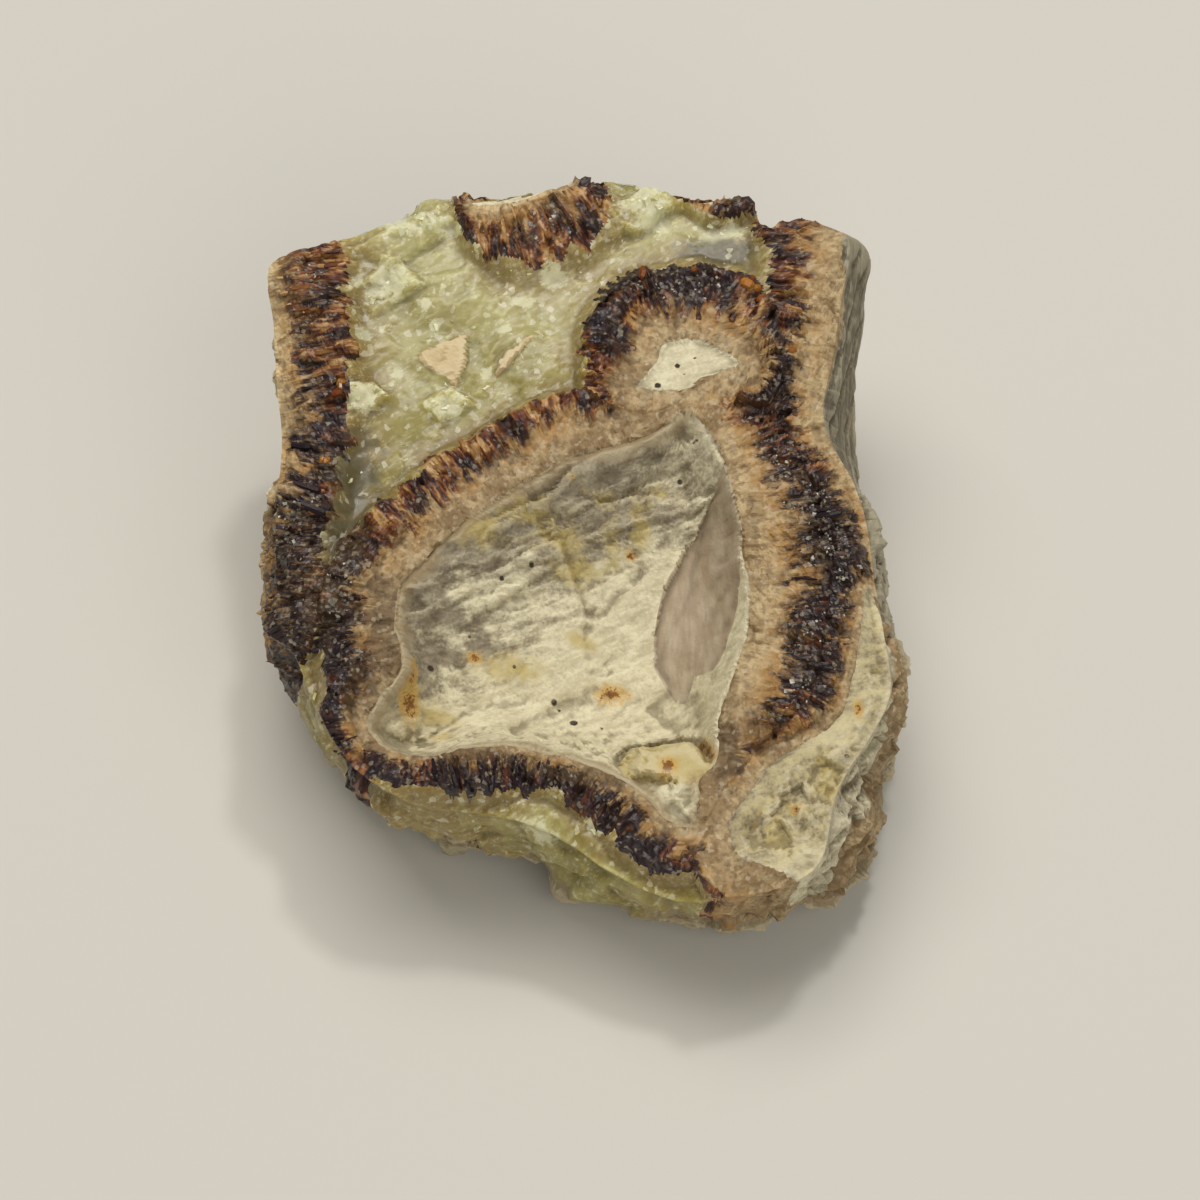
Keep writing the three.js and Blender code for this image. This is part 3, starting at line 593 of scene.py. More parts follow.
def stitch(a, count_a, b, count_b):
    """Triangles between a ring of count_a vertices that starts at a and the next ring out."""
    made = []
    i = j = 0
    while i < (count_a if count_a > 1 else 0) or j < (count_b if count_b > 1 else 0):
        from_a = count_a > 1 and i < count_a
        from_b = count_b > 1 and j < count_b
        if from_a and (not from_b or (i + 1) * count_b <= (j + 1) * count_a):
            made.append((a + i % count_a, b + j % count_b, a + (i + 1) % count_a))
            i += 1
        else:
            made.append((a + i % count_a, b + j % count_b, b + (j + 1) % count_b))
            j += 1
    return made


plan = ring_plan()
counts = [count for _, _, count in plan]
starts = np.concatenate([[0], np.cumsum(counts)[:-1]])
triangles = []
for k in range(len(plan) - 1):
    triangles += stitch(starts[k], counts[k], starts[k + 1], counts[k + 1])
triangles = np.array(triangles)
print("rings:", len(plan), "vertices:", sum(counts), "triangles:", len(triangles))

# %% Smooth body
zone = np.repeat([name for name, _, _ in plan], counts)
share = np.repeat([s for _, s, _ in plan], counts)
angle = np.concatenate([2 * math.pi * np.arange(count) / count for count in counts])
cos, sin = np.cos(angle), np.sin(angle)
(edge_radius,) = ring_values(FACE, angle)
girdle_radius, girdle_depth = ring_values(GIRDLE, angle)

points = np.zeros((len(angle), 3))
face = zone == "face"
face_u = np.where(face, share, 1) * edge_radius * cos
face_v = np.where(face, share, 1) * edge_radius * sin
off_rim = face & (share < 0.995)
face_u[off_rim], face_v[off_rim] = onto_borders(face_u[off_rim], face_v[off_rim])
face_layers = measure(face_u[face], face_v[face])
face_height = relief(*warp(face_u[face], face_v[face]), face_layers)
points[face] = place(face_u[face], face_v[face], -face_height)

rim_start, rim_count = starts[FACE_RINGS], counts[FACE_RINGS]
rim = points[rim_start : rim_start + rim_count]
rim_angle = angle[rim_start : rim_start + rim_count]
top = np.stack([np.interp(angle, rim_angle, rim[:, axis], period=2 * math.pi) for axis in range(3)], 1)
widest = place(girdle_radius * cos, girdle_radius * sin, girdle_depth)
foot = np.stack([FOOT_CENTRE[0] + FOOT_RADIUS[0] * cos, FOOT_CENTRE[1] + FOOT_RADIUS[1] * sin, 0 * cos], 1)
middle = np.array([*FOOT_CENTRE, 0.0])

t = share[:, None]
side = mix(top, widest, t) + SIDE_BULGE * np.sin(t * math.pi) * np.stack([cos, sin, 0 * cos], 1)
sweep = t * math.pi / 2
under = mix(foot, widest, np.cos(sweep) ** 0.8)
under[:, 2] = widest[:, 2] * (1 - np.sin(sweep[:, 0]) ** 1.3)
for name, path in (("side", side), ("under", under), ("foot", mix(foot, middle, t))):
    points[zone == name] = path[zone == name]
print("smooth body spans", points.min(0).round(1), "to", points.max(0).round(1), "mm")

# %% [markdown]
# ## Sides and underside
# The sides are fresh breaks: flat facets of several sizes, laid on along the surface's own direction. Shale
# beds step the right side. The layers of the face go on down the sides, because they are sheets that run
# through the stone, so columns show there too.

# %% Rough sides
def vertex_normals(p, tris):
    """The direction in which the surface faces at each vertex."""
    corner = p[tris]
    across = np.cross(corner[:, 1] - corner[:, 0], corner[:, 2] - corner[:, 0])
    total = np.zeros_like(p)
    for k in range(3):
        np.add.at(total, tris[:, k], across)
    return total / np.maximum(np.linalg.norm(total, axis=1, keepdims=True), 1e-12)


def shale_step(p):
    """How far the shale beds of the right side stand out or back."""
    right = smooth(8, 10.5, p[:, 0])
    bed = p[:, 2] / SHALE_BED + 0.15 * p[:, 1] + 0.25 * soft_noise(p, 1.6, 35, 2)
    return right * SHALE_STEP * (smooth(0.05, 0.25, bed - np.floor(bed)) * 2 - 1)


def layers_below(p):
    """The layers at points of the sides: those at the face's edge above, which wander as they go down."""
    u, v, depth = unplace(p)
    (edge,) = ring_values(FACE, np.arctan2(v, u))
    reach = np.maximum(1, 0.995 * edge / np.hypot(u, v).clip(0.1))
    drift = 0.3 * np.maximum(depth - 0.8, 0)
    return measure(u * reach + drift * soft_noise(p, 5.0, 8), v * reach + drift * soft_noise(p, 5.0, 9))


is_side, is_under = zone == "side", zone == "under"
side_share = np.where(is_side, smooth(0, 0.2, share), 0)
under_blend = smooth(0, 0.4, share)
under_fade = 1 - smooth(0.65, 1, share)
side_weight = side_share + is_under * under_fade * (1 - under_blend)
under_weight = is_under * under_fade * under_blend

layers = {name: np.zeros((len(points), *value.shape[1:])) for name, value in face_layers.items()}
below = ~face
side_layers = layers_below(points[below])
for name in layers:
    layers[name][face] = face_layers[name]
    layers[name][below] = side_layers[name]
depth_below = np.maximum(unplace(points)[2], 0)

p = points[below]
fine_weight = (side_weight + under_weight)[below]
side_u, side_v, _ = unplace(p)
flat_side = smooth(8.8, 9.6, side_u) * smooth(1.5, 3.0, side_v)
side_break = SIDE_BREAKS["height"] * (flat_breaks(p, SIDE_BREAKS["size"], 11, 0.06) - 0.45) + shale_step(p)
side_break = side_break * (1 - 0.8 * flat_side)
under_break = UNDER_BREAKS["height"] * flat_breaks(p, UNDER_BREAKS["size"], 12, 0.06)
out = side_weight[below] * side_break + under_weight[below] * under_break
fine = 0.4 * flat_breaks(p, 1.5, 13, 0.02) + 0.16 * flat_breaks(p, 0.55, 14)
fine += 0.08 * soft_noise(p, 0.5, 10, 2)
columns = column_relief(side_layers, depth_below[below])
fine = fine * (1 - 0.85 * flat_side)
is_column = smooth(0.8, 1.2, side_layers["layer"]) * (1 - smooth(2.0, 2.3, side_layers["layer"]))
is_waxy = smooth(2.0, 2.3, side_layers["layer"])
out += fine_weight * mix(fine * (1 - 0.5 * is_waxy), 0.8 * columns + 0.3 * fine, is_column)
points[below] += vertex_normals(points, triangles)[below] * out[:, None]
points[:, 2] = np.maximum(points[:, 2], 0)


def crevices(p, tris, rounds, reach):
    """How deep each vertex lies below its smoothed surroundings: 0.5 is level, 1 is a crevice, 0 a crest."""
    pairs = np.concatenate([tris[:, [0, 1]], tris[:, [1, 2]], tris[:, [2, 0]]])
    count = np.bincount(pairs[:, 0], minlength=len(p))[:, None]
    smoothed = p
    for _ in range(rounds):
        total = [np.bincount(pairs[:, 0], smoothed[pairs[:, 1], axis], len(p)) for axis in range(3)]
        smoothed = np.stack(total, 1) / count
    below = ((smoothed - p) * vertex_normals(smoothed, tris)).sum(1)
    return np.clip(0.5 + 0.5 * below / reach, 0, 1)


# Crevice depth drives painted shade in crevices and painted highlights on crests in the finishes below.
pit = 0.5 * crevices(points, triangles, 3, 0.04) + 0.5 * crevices(points, triangles, 14, 0.12)
print("stone spans", points.min(0).round(2), "to", points.max(0).round(2), "mm")

# %% [markdown]
# ## Colour masks
# Colours that follow the stone's history are worked out here and kept on the mesh as named numbers: where
# the limestone is cream or grey, where iron stained it, where the spar is bruised white. The materials read
# them and add everything finer. Spots are listed, with a place and a half-width and half-height each.
# The depth of crevices is kept too, for painted shade in crevices and painted highlights on crests.

# %% Spots and stains
OCHRE = [
    (2.3, 0.5, 0.45, 1.1), (-1.0, -0.3, 1.1, 0.6), (-4.2, -0.3, 1.1, 0.6), (0.7, 1.3, 0.5, 0.3),
    (-0.4, -1.4, 0.9, 0.6), (2.7, 1.6, 0.6, 0.3), (0.0, -4.2, 0.7, 0.4), (2.6, -9.2, 0.8, 0.35),
    (4.2, -9.2, 0.6, 0.35), (8.1, -11.8, 0.4, 0.3), (6.9, -12.0, 0.3, 0.5), (9.7, -13.4, 0.2, 0.5),
    (-5.6, -8.4, 0.5, 0.3), (2.2, -10.4, 0.5, 0.4), (4.4, -10.4, 0.5, 0.5), (-7.0, -6.6, 0.4, 1.0),
    (-5.2, 0.4, 1.0, 0.5), (-2.4, 0.6, 1.2, 0.6), (1.2, -0.4, 0.5, 1.0), (-6.0, -7.6, 0.9, 0.5),
    (-3.0, -5.4, 1.2, 0.6), (9.6, -11.0, 0.8, 1.4), (7.6, -13.0, 0.8, 0.8),
]
RUST = [
    (1.1, -6.3, 0.55, 0.36), (1.9, -0.8, 0.24, 0.2), (-4.4, -5.0, 0.32, 0.2), (-6.9, -7.4, 0.34, 0.7),
    (-6.8, -6.4, 0.16, 0.5), (-0.5, 1.9, 0.16, 0.12), (3.0, -5.0, 0.15, 0.2), (3.3, -10.2, 0.32, 0.4),
    (4.7, -9.0, 0.2, 0.2), (4.9, -9.35, 0.2, 0.2), (5.1, -9.7, 0.2, 0.2), (10.8, -8.0, 0.16, 0.35),
    (8.3, -12.0, 0.2, 0.2), (6.7, -12.6, 0.1, 0.1),
]
PORES = [
    (-6.1, -5.8, 0.12, 0.12), (-1.2, -6.7, 0.14, 0.14), (-0.4, -7.6, 0.16, 0.12), (-1.0, -7.0, 0.08, 0.08),
    (-3.3, -2.0, 0.1, 0.1), (-2.1, -1.4, 0.1, 0.1), (3.9, 2.2, 0.1, 0.1), (4.5, 3.5, 0.14, 0.08),
    (-2.8, -5.3, 0.08, 0.08), (-4.6, -4.2, 0.08, 0.08), (0.7, -7.8, 0.08, 0.08), (3.8, 6.7, 0.12, 0.12),
    (4.5, 7.1, 0.07, 0.07), (4.1, 6.3, 0.07, 0.07), (3.0, 5.8, 0.16, 0.12), (10.3, -9.9, 0.12, 0.12),
]
BRUISES = [
    (-8.1, 10.4, 1.25, 0.8), (-7.6, 13.1, 0.6, 0.6), (-8.9, 5.3, 0.75, 0.7), (-5.6, 5.2, 0.7, 0.65),
    (-6.5, 9.5, 0.22, 0.36), (-6.1, 8.7, 0.24, 0.4), (-9.0, 8.2, 0.36, 0.4), (-1.3, 10.9, 0.6, 0.5),
    (-7.6, 6.6, 0.3, 0.3), (-4.0, 6.6, 0.22, 0.22), (2.5, 14.4, 0.9, 0.8), (2.9, 13.4, 0.8, 0.5),
    (6.0, 12.9, 0.9, 0.35), (5.3, 12.6, 0.5, 0.35), (-1.5, 12.1, 0.4, 0.3), (-1.7, -13.2, 0.8, 0.9),
    (0.7, -12.6, 0.6, 0.35), (-3.2, 8.5, 0.4, 0.16), (-4.3, 12.1, 0.36, 0.28), (-2.6, 9.8, 0.6, 0.2),
    (-6.4, 12.9, 1.2, 0.4), (-10.5, -0.6, 0.2, 0.5), (9.5, -2.0, 0.3, 0.4),
]
SMOKY = [
    (-9.3, 2.0, 1.0, 1.7), (-9.7, -0.5, 0.9, 1.8), (-10.4, -3.4, 0.8, 1.7), (5.8, 12.0, 1.3, 0.7),
    (-7.9, -4.6, 1.0, 2.2), (-8.6, -7.2, 0.7, 1.1), (-5.0, -9.9, 2.0, 0.4), (5.6, -9.6, 0.7, 1.3),
    (1.0, -10.7, 2.2, 0.4), (7.0, -8.8, 0.9, 0.9),
]
DUSK = [
    (-12.4, -1.6, 2.4, 4.8), (-9.6, -6.4, 1.8, 3.6), (9.1, -1.2, 2.0, 4.0), (7.9, -5.6, 1.3, 2.0),
    (-1.5, -10.8, 5.0, 1.0), (2.6, -13.0, 1.8, 1.6), (-11.4, 4.4, 1.2, 2.2), (0.6, 8.6, 1.0, 1.0),
    (8.6, 6.5, 1.0, 2.0), (3.4, 10.4, 2.4, 0.9),
]
DRUSE = [
    (7.9, 2.2, 0.8, 0.9), (8.9, 0.8, 0.9, 1.0), (9.4, -0.6, 1.0, 0.9), (9.7, -2.2, 1.1, 1.0),
    (9.6, -4.0, 1.1, 1.0), (9.1, -5.2, 0.8, 0.9), (8.5, -7.2, 0.6, 0.8), (-11.6, 0.4, 0.8, 1.6),
    (-11.6, 10.6, 0.8, 0.6), (-2.2, 12.6, 1.0, 0.8), (4.0, 10.2, 1.6, 0.5), (-9.8, -2.8, 0.5, 1.4),
]
GREY_BANK = [
    (-6.2, -3.6, 1.6, 0.9), (-5.6, -5.0, 1.8, 0.55), (-6.6, -5.8, 0.9, 1.2), (-4.0, -4.6, 1.0, 0.3),
    (-6.6, -1.6, 1.3, 0.9), (-7.3, -5.2, 0.5, 0.8), (-3.4, 0.6, 2.4, 0.8),
]
# Paler cream at the apex of the hollow: partly the stone's own cream, partly painted light that lifts the
# shade of the deep apex.
APEX_CREAM_AND_LIGHT = [(4.5, 3.6, 1.3, 1.2), (3.4, 2.2, 1.2, 0.8)]


def spots(u, v, places, ragged=0.45, seed=0):
    """1 in the middle of each spot, 0.5 at its ragged edge and 0 farther out."""
    shake = ragged * soft_noise(stack(u, v, seed), 0.4, seed, 3)
    best = np.zeros(len(u))
    for cu, cv, ru, rv in places:
        best = np.maximum(best, 1 - 0.5 * np.hypot((u - cu) / ru, (v - cv) / rv) - shake)
    return np.clip(best, 0, 1)


def limestone_cream(u, v, depth, inside):
    """0 for grey limestone and 1 for cream, with mottled, streaky borders."""
    p = stack(u, v, 0.3 * depth)
    across = along_beds(u, v)[1]
    streak = soft_noise(stack(0.4 * u + 0.2 * v, across * 1.6, 0), 1.0, 12, 3)
    mottle = soft_noise(p, 1.3, 13, 3)
    floor = smooth(2.4, -5.2, across + 3.4 * streak + 3.0 * mottle)
    at_rim = smooth(1.3, 0.9, distance_to(CURVES[IN_HOLLOW], u, v))
    strip = at_rim * smooth(4.0, 4.8, u) * smooth(-0.6, -2.2, v)
    # The apex spots lighten the floor: partly real cream, partly painted light.
    in_hollow = np.maximum(np.maximum(floor, strip), 0.6 * spots(u, v, APEX_CREAM_AND_LIGHT, 0.5, 28))
    in_hollow = in_hollow * (1 - 0.95 * smooth(0.25, 0.75, spots(u, v, GREY_BANK, 0.6, 31)))
    sheet = np.clip(0.5 + 0.5 * mottle, 0, 1)
    rind = np.clip(0.35 + 0.6 * mottle, 0, 1)
    kinds = [inside == IN_HOLLOW, inside == IN_PATCH, inside == IN_SEPTUM, inside == IN_RIGHT, inside >= 0]
    return np.select(kinds, [in_hollow, 1.0, sheet, 0.12, 0.9], rind)


WALL_TONES = np.array([0.0, 0.15, 0.05, 1.0, 0.4, 0.9, 0.9])


def on_flakes(u, v):
    """True on the two flakes of limestone that stick to the spar."""
    return np.any([is_inside(curve, u, v) for curve in FLAKE_CURVES], axis=0)


def pale_tone(m, u, v):
    """How creamy the pale layer is: brown-beige round the hollow, cream-tan on the left wall."""
    tone = WALL_TONES[m["owner"].astype(int)]
    right = (m["owner"] == IN_HOLLOW) * smooth(4.8, 6.6, u) * smooth(-8, -6, v)
    return np.clip(tone + 0.55 * right, 0, 1)


u, v, depth = unplace(points)
shaken_u, shaken_v = warp(u, v)
on_face = zone == "face"
jag = fibres(layers, depth, 0.3, 1.6, 14) + 1.6 * fibres(layers, depth, 1.0, 2.5, 15)
calcite = layers["layer"] > 0
shortest = np.minimum(1, 1.5 / layers["thick"].clip(0.1))
layer = layers["layer"] + calcite * 0.3 * shortest * jag * smooth(0.35, 0.9, layers["layer"])
worn = depth + 1.7 * soft_noise(points, 4.0, 16, 2) + 0.7 * soft_noise(points, 0.9, 68, 2)
rind = np.maximum(smooth(3.4, 7.0, worn) * (zone != "face"), zone == "foot")
in_knob = is_inside(KNOB_CURVE, shaken_u, shaken_v)
yellowed = np.where(in_knob, 1.0, 0.58 * (layers["inside"] == IN_SEPTUM))
rim_gap = np.minimum(*(distance_to(CURVES[owner], shaken_u, shaken_v) for owner in (IN_HOLLOW, IN_SEPTUM)))
brink = smooth(0.9 + 0.6 * soft_noise(stack(u, v, 0), 0.9, 67, 2), 0.0, rim_gap) * on_face
brink = brink * (1 - 0.7 * smooth(3.6, 5.2, u))
masks = {
    "layer": layer,
    "tone": pale_tone(layers, u, v),
    "cream": limestone_cream(u, v, depth, layers["inside"]),
    "ochre": np.maximum(spots(u, v, OCHRE, 0.5, 17), yellowed) * on_face,
    "rust": spots(u, v, RUST, 0.35, 18) * on_face,
    "pore": spots(u, v, PORES, 0.2, 19) * on_face,
    "bruise": spots(u, v, BRUISES, 0.4, 20) * smooth(3.0, 1.2, depth),
    "milky": smooth(4, 13, v + 3 * soft_noise(points, 3.0, 23, 2)),
    "smoky": spots(u, v, SMOKY, 0.4, 27) * on_face,
    "dusk": spots(u, v, DUSK, 0.4, 29),
    # crevice depth, for painted shade in crevices and painted highlights on crests
    "pit": pit,
    "rind": rind,
    "brink": brink,
}
vectors = {
    "fibre": np.stack([layers["run"], layers["out"], depth], 1),
    "grow": place(layers["grow"][:, 0], layers["grow"][:, 1], 0) - [0, 0, FACE_HEIGHT],
}
face_triangles = on_face[triangles].all(1)
middle_u, middle_v = warp(u[triangles].mean(1), v[triangles].mean(1))
wall_here = np.where(face_triangles, wall_around(middle_u, middle_v), layers["inside"][triangles].max(1))
triangle_masks = {
    "leaf": is_inside(LEAF_CURVE, middle_u, middle_v) & face_triangles,
    "flake": on_flakes(middle_u, middle_v) & face_triangles,
    "shale": wall_here == IN_RIGHT,
}
for name, values in masks.items():
    print(f"{name:7s} covers {100 * float(np.mean(np.asarray(values) > 0.5)):.0f} % of the vertices")

# %% [markdown]
# ## From numbers to a mesh
# The arrays become one Blender mesh. Each triangle gets one of three finishes, by the layer that it lies in:
# limestone, banded calcite or spar. Stone and columns keep their flat faces, because they are all little
# facets that catch the light one by one. The waxy spar, the scar and the weathered rind are shaded smooth.

# %% Build the stone
LIMESTONE, BANDED, SPAR = range(3)


def new_mesh(name, points_mm, tris):
    """A mesh object in the frame, in metres, from millimetres in the built frame."""
    mesh = bpy.data.meshes.new(name)
    mesh.vertices.add(len(points_mm))
    mesh.vertices.foreach_set("co", ((points_mm - CENTRE) * MM).astype(np.float32).ravel())
    mesh.loops.add(tris.size)
    mesh.loops.foreach_set("vertex_index", tris.astype(np.int32).ravel())
    mesh.polygons.add(len(tris))
    mesh.polygons.foreach_set("loop_start", np.arange(0, tris.size, 3, dtype=np.int32))
    mesh.update(calc_edges=True)
    mesh.validate()
    obj = bpy.data.objects.new(name, mesh)
    bpy.context.scene.collection.objects.link(obj)
    return obj


def store(mesh, name, values, kind="FLOAT", domain="POINT"):
    """Keeps numbers on the vertices or faces under a name that materials and node trees can read."""
    attribute = mesh.attributes.new(name, kind, domain)
    key = "value" if kind == "FLOAT" else "vector"
    attribute.data.foreach_set(key, np.asarray(values, np.float32).ravel())


stone = new_mesh("stone", points, triangles)
for name, values in masks.items():
    store(stone.data, name, values)
for name, values in vectors.items():
    store(stone.data, name, values, "FLOAT_VECTOR")
for name, values in triangle_masks.items():
    store(stone.data, name, values, domain="FACE")

rind_here = rind[triangles].mean(1)
finish_of = np.where(layer[triangles].mean(1) < 2.0, BANDED, SPAR)
finish_of[(wall_here >= 0) | (rind_here > 0.5) | triangle_masks["flake"]] = LIMESTONE
stone.data.polygons.foreach_set("material_index", finish_of.astype(np.int32))
is_smooth = triangle_masks["leaf"] | (rind_here > 0.9) | (finish_of == SPAR)
stone.data.polygons.foreach_set("use_smooth", is_smooth)
print("stone:", len(stone.data.polygons), "triangles, by finish:", np.bincount(finish_of))

# %% [markdown]
# ## Helpers for node trees
# Materials and Geometry Nodes are both graphs, so one helper serves them all. It holds a tree, adds nodes to
# it and fills their sockets, with a short name for each kind of node that this stone needs. Colours are
# given as a painter would mix them, in everyday 0 to 255 values.

# %% Node helpers
def colour(red, green, blue):
    """A colour in everyday 0 to 255 values, as the linear light that Blender mixes."""
    parts = [c / 255 for c in (red, green, blue)]
    linear = [c / 12.92 if c < 0.04045 else ((c + 0.055) / 1.055) ** 2.4 for c in parts]
    return (*linear, 1.0)


class Graph:
    """A node tree, with a short name for each kind of node that the stone needs."""

    def __init__(self, tree):
        self.tree = tree

    def fill(self, node, inputs):
        """Fills sockets, by name or number, with values or with the outputs of other nodes."""
        for name, value in inputs.items():
            if isinstance(value, bpy.types.NodeSocket):
                self.tree.links.new(value, node.inputs[name])
            else:
                node.inputs[name].default_value = value
        return node

    def add(self, kind, inputs, **settings):
        node = self.tree.nodes.new(kind)
        for name, value in settings.items():
            setattr(node, name, value)
        return self.fill(node, inputs)

    def math(self, operation, *values, clamp=False):
        node = self.add("ShaderNodeMath", dict(enumerate(values)), operation=operation, use_clamp=clamp)
        return node.outputs[0]

    def plus(self, first, *others):
        for other in others:
            first = self.math("ADD", first, other)
        return first

    def times(self, first, *others):
        for other in others:
            first = self.math("MULTIPLY", first, other)
        return first

    def scaled(self, value, weight, offset, clamp=False):
        return self.math("MULTIPLY_ADD", value, weight, offset, clamp=clamp)

    def sway(self, value, weight):
        """Noise of 0 to 1, as a shift to either side that is weight wide in all."""
        return self.scaled(value, weight, -0.5 * weight)

    def step(self, value, low, high):
        """0 below low and 1 above high, with a soft step between."""
        inputs = {0: value, 1: low, 2: high}
        return self.add("ShaderNodeMapRange", inputs, interpolation_type="SMOOTHSTEP").outputs[0]

    def blend(self, factor, a, b):
        """Colour a where factor is 0 and b where it is 1."""
        a, b = (colour(*c) if isinstance(c, tuple) else c for c in (a, b))
        return self.add("ShaderNodeMix", {0: factor, 6: a, 7: b}, data_type="RGBA").outputs[2]

    def paint(self, base, *coats):
        """Lays coats of (mask, strength, colour) over a base, one after the other."""
        for mask, strength, coat in coats:
            base = self.blend(mask if strength == 1 else self.times(mask, strength), base, coat)
        return base

    def ramp(self, factor, *stops):
        """A colour ramp with stops of (position, red, green, blue)."""
        node = self.add("ShaderNodeValToRGB", {0: factor})
        elements = node.color_ramp.elements
        while len(elements) < len(stops):
            elements.new(1.0)
        for element, (position, *value) in zip(elements, stops):
            element.position = position
            element.color = colour(*value)
        return node.outputs[0]

    def numbers(self, name, output="Fac"):
        """The mesh's named numbers, or with output "Vector" its named vectors."""
        return self.add("ShaderNodeAttribute", {}, attribute_name=name).outputs[output]

    def stretch(self, vector, scale):
        return self.add("ShaderNodeVectorMath", {0: vector, 1: scale}, operation="MULTIPLY").outputs[0]

    def turn(self, vector, angle):
        inputs = {"Vector": vector, "Angle": angle}
        return self.add("ShaderNodeVectorRotate", inputs, rotation_type="Z_AXIS").outputs[0]

    def noise(self, vector, scale, detail=2.0, roughness=0.5):
        inputs = {"Vector": vector, "Scale": scale, "Detail": detail, "Roughness": roughness}
        return self.add("ShaderNodeTexNoise", inputs).outputs["Fac"]

    def stretched_noise(self, vector, scale, detail, roughness=0.6):
        return self.noise(self.stretch(vector, scale), 1.0, detail, roughness)

    def cells(self, vector, scale):
        """Random red, green and blue for each cell of a Voronoi pattern."""
        pattern = self.add("ShaderNodeTexVoronoi", {"Vector": vector, "Scale": scale})
        return self.add("ShaderNodeSeparateColor", {0: pattern.outputs["Color"]}).outputs

    def use(self, group, **inputs):
        """A node group's outputs. Its inputs are named with _ for each space."""
        inputs = {name.replace("_", " "): value for name, value in inputs.items()}
        return self.add("ShaderNodeGroup", inputs, node_tree=group).outputs

    def bump(self, height, strength, distance_mm):
        inputs = {"Height": height, "Strength": strength, "Distance": distance_mm * MM}
        return self.add("ShaderNodeBump", inputs).outputs[0]

    def in_millimetres(self):
        """The object's own coordinates, in millimetres."""
        return self.stretch(self.add("ShaderNodeTexCoord", {}).outputs["Object"], (1000, 1000, 1000))


print("everyday white in linear light:", colour(255, 255, 255))

# %% [markdown]
# ## Shared effects
# Three effects are needed more than once, so each is a node group. Sugar grain is the sparkle of countless
# tiny calcite faces. Fibre streaks follow the growth direction kept on the mesh. Bundle tint gives whole
# bundles of columns one tint. A group only puts out values: each material decides what they change.

# %% Node groups
NUMBER, VECTOR = "NodeSocketFloat", "NodeSocketVector"


def new_graph(kind, name, inputs, outputs):
    """An empty tree with named sockets: inputs of name: (kind, value) and outputs of name: kind.

    Returns its graph, its input sockets and its output node."""
    tree = bpy.data.node_groups.new(name, kind)
    for socket, (socket_kind, value) in inputs.items():
        item = tree.interface.new_socket(socket, in_out="INPUT", socket_type=socket_kind)
        if value is not None:
            item.default_value = value
    for socket, socket_kind in outputs.items():
        tree.interface.new_socket(socket, in_out="OUTPUT", socket_type=socket_kind)
    return Graph(tree), tree.nodes.new("NodeGroupInput").outputs, tree.nodes.new("NodeGroupOutput")


def make_sugar_grain():
    inputs = {"Place": (VECTOR, None), "Grains per mm": (NUMBER, 4.0)}
    g, given, result = new_graph("ShaderNodeTree", "sugar_grain", inputs, {"Grain": NUMBER, "Glint": NUMBER})
    shades = g.cells(given["Place"], given["Grains per mm"])
    g.fill(result, {"Grain": shades[0], "Glint": g.step(shades[1], 0.9, 0.97)})
    return g.tree


def make_fibre_streaks():
    inputs = {"Fibre": (VECTOR, None), "Across": (NUMBER, 5.0), "Along": (NUMBER, 0.8)}
    outputs = {"Streak": NUMBER, "Column": NUMBER}
    g, given, result = new_graph("ShaderNodeTree", "fibre_streaks", inputs, outputs)
    scale = {0: given["Across"], 1: given["Along"], 2: g.times(given["Across"], 0.4)}
    drawn = g.stretch(given["Fibre"], g.add("ShaderNodeCombineXYZ", scale).outputs[0])
    g.fill(result, {"Streak": g.noise(drawn, 1.0, 3.0, 0.6), "Column": g.cells(drawn, 0.8)[0]})
    return g.tree


def make_bundle_tint():
    g, given, result = new_graph("ShaderNodeTree", "bundle_tint", {"Fibre": (VECTOR, None)}, {"Tint": NUMBER})
    tint = 0.45
    for weight, scale in ((1.9, (1.0, 0.45, 0.8)), (2.2, (3.0, 0.6, 1.6)), (1.0, (9.0, 1.2, 4.0))):
        tint = g.plus(tint, g.sway(g.stretched_noise(given["Fibre"], scale, 2.0, 0.5), weight))
    g.fill(result, {"Tint": g.math("ADD", tint, 0.0, clamp=True)})
    return g.tree


sugar_grain, fibre_streaks, bundle_tint = make_sugar_grain(), make_fibre_streaks(), make_bundle_tint()
print("groups:", sugar_grain.name, fibre_streaks.name, bundle_tint.name)

# %% [markdown]
# ## Limestone
# The limestone is matt and powdery. It runs from grey to cream, with ochre and rust where iron came in, and
# dark pin-pricks. The leaf-shaped scar is the same stone, but smooth and pinkish. Bump is only for grain too
# fine to model: every ledge and flake is already in the mesh.
# Crevices are darkened with painted shade, and crests are lightened with a painted highlight.

# %% The limestone finish
BED_ANGLE, CLEAVAGE_ANGLE = -0.36, -0.57


def new_finish(name):
    """A material whose tree holds just a Principled shader. Returns it, its graph and the shader."""
    material = bpy.data.materials.new(name)
    material.use_nodes = True
    tree = material.node_tree
    tree.nodes.clear()
    output = tree.nodes.new("ShaderNodeOutputMaterial")
    shader = tree.nodes.new("ShaderNodeBsdfPrincipled")
    tree.links.new(shader.outputs[0], output.inputs[0])
    return material, Graph(tree), shader


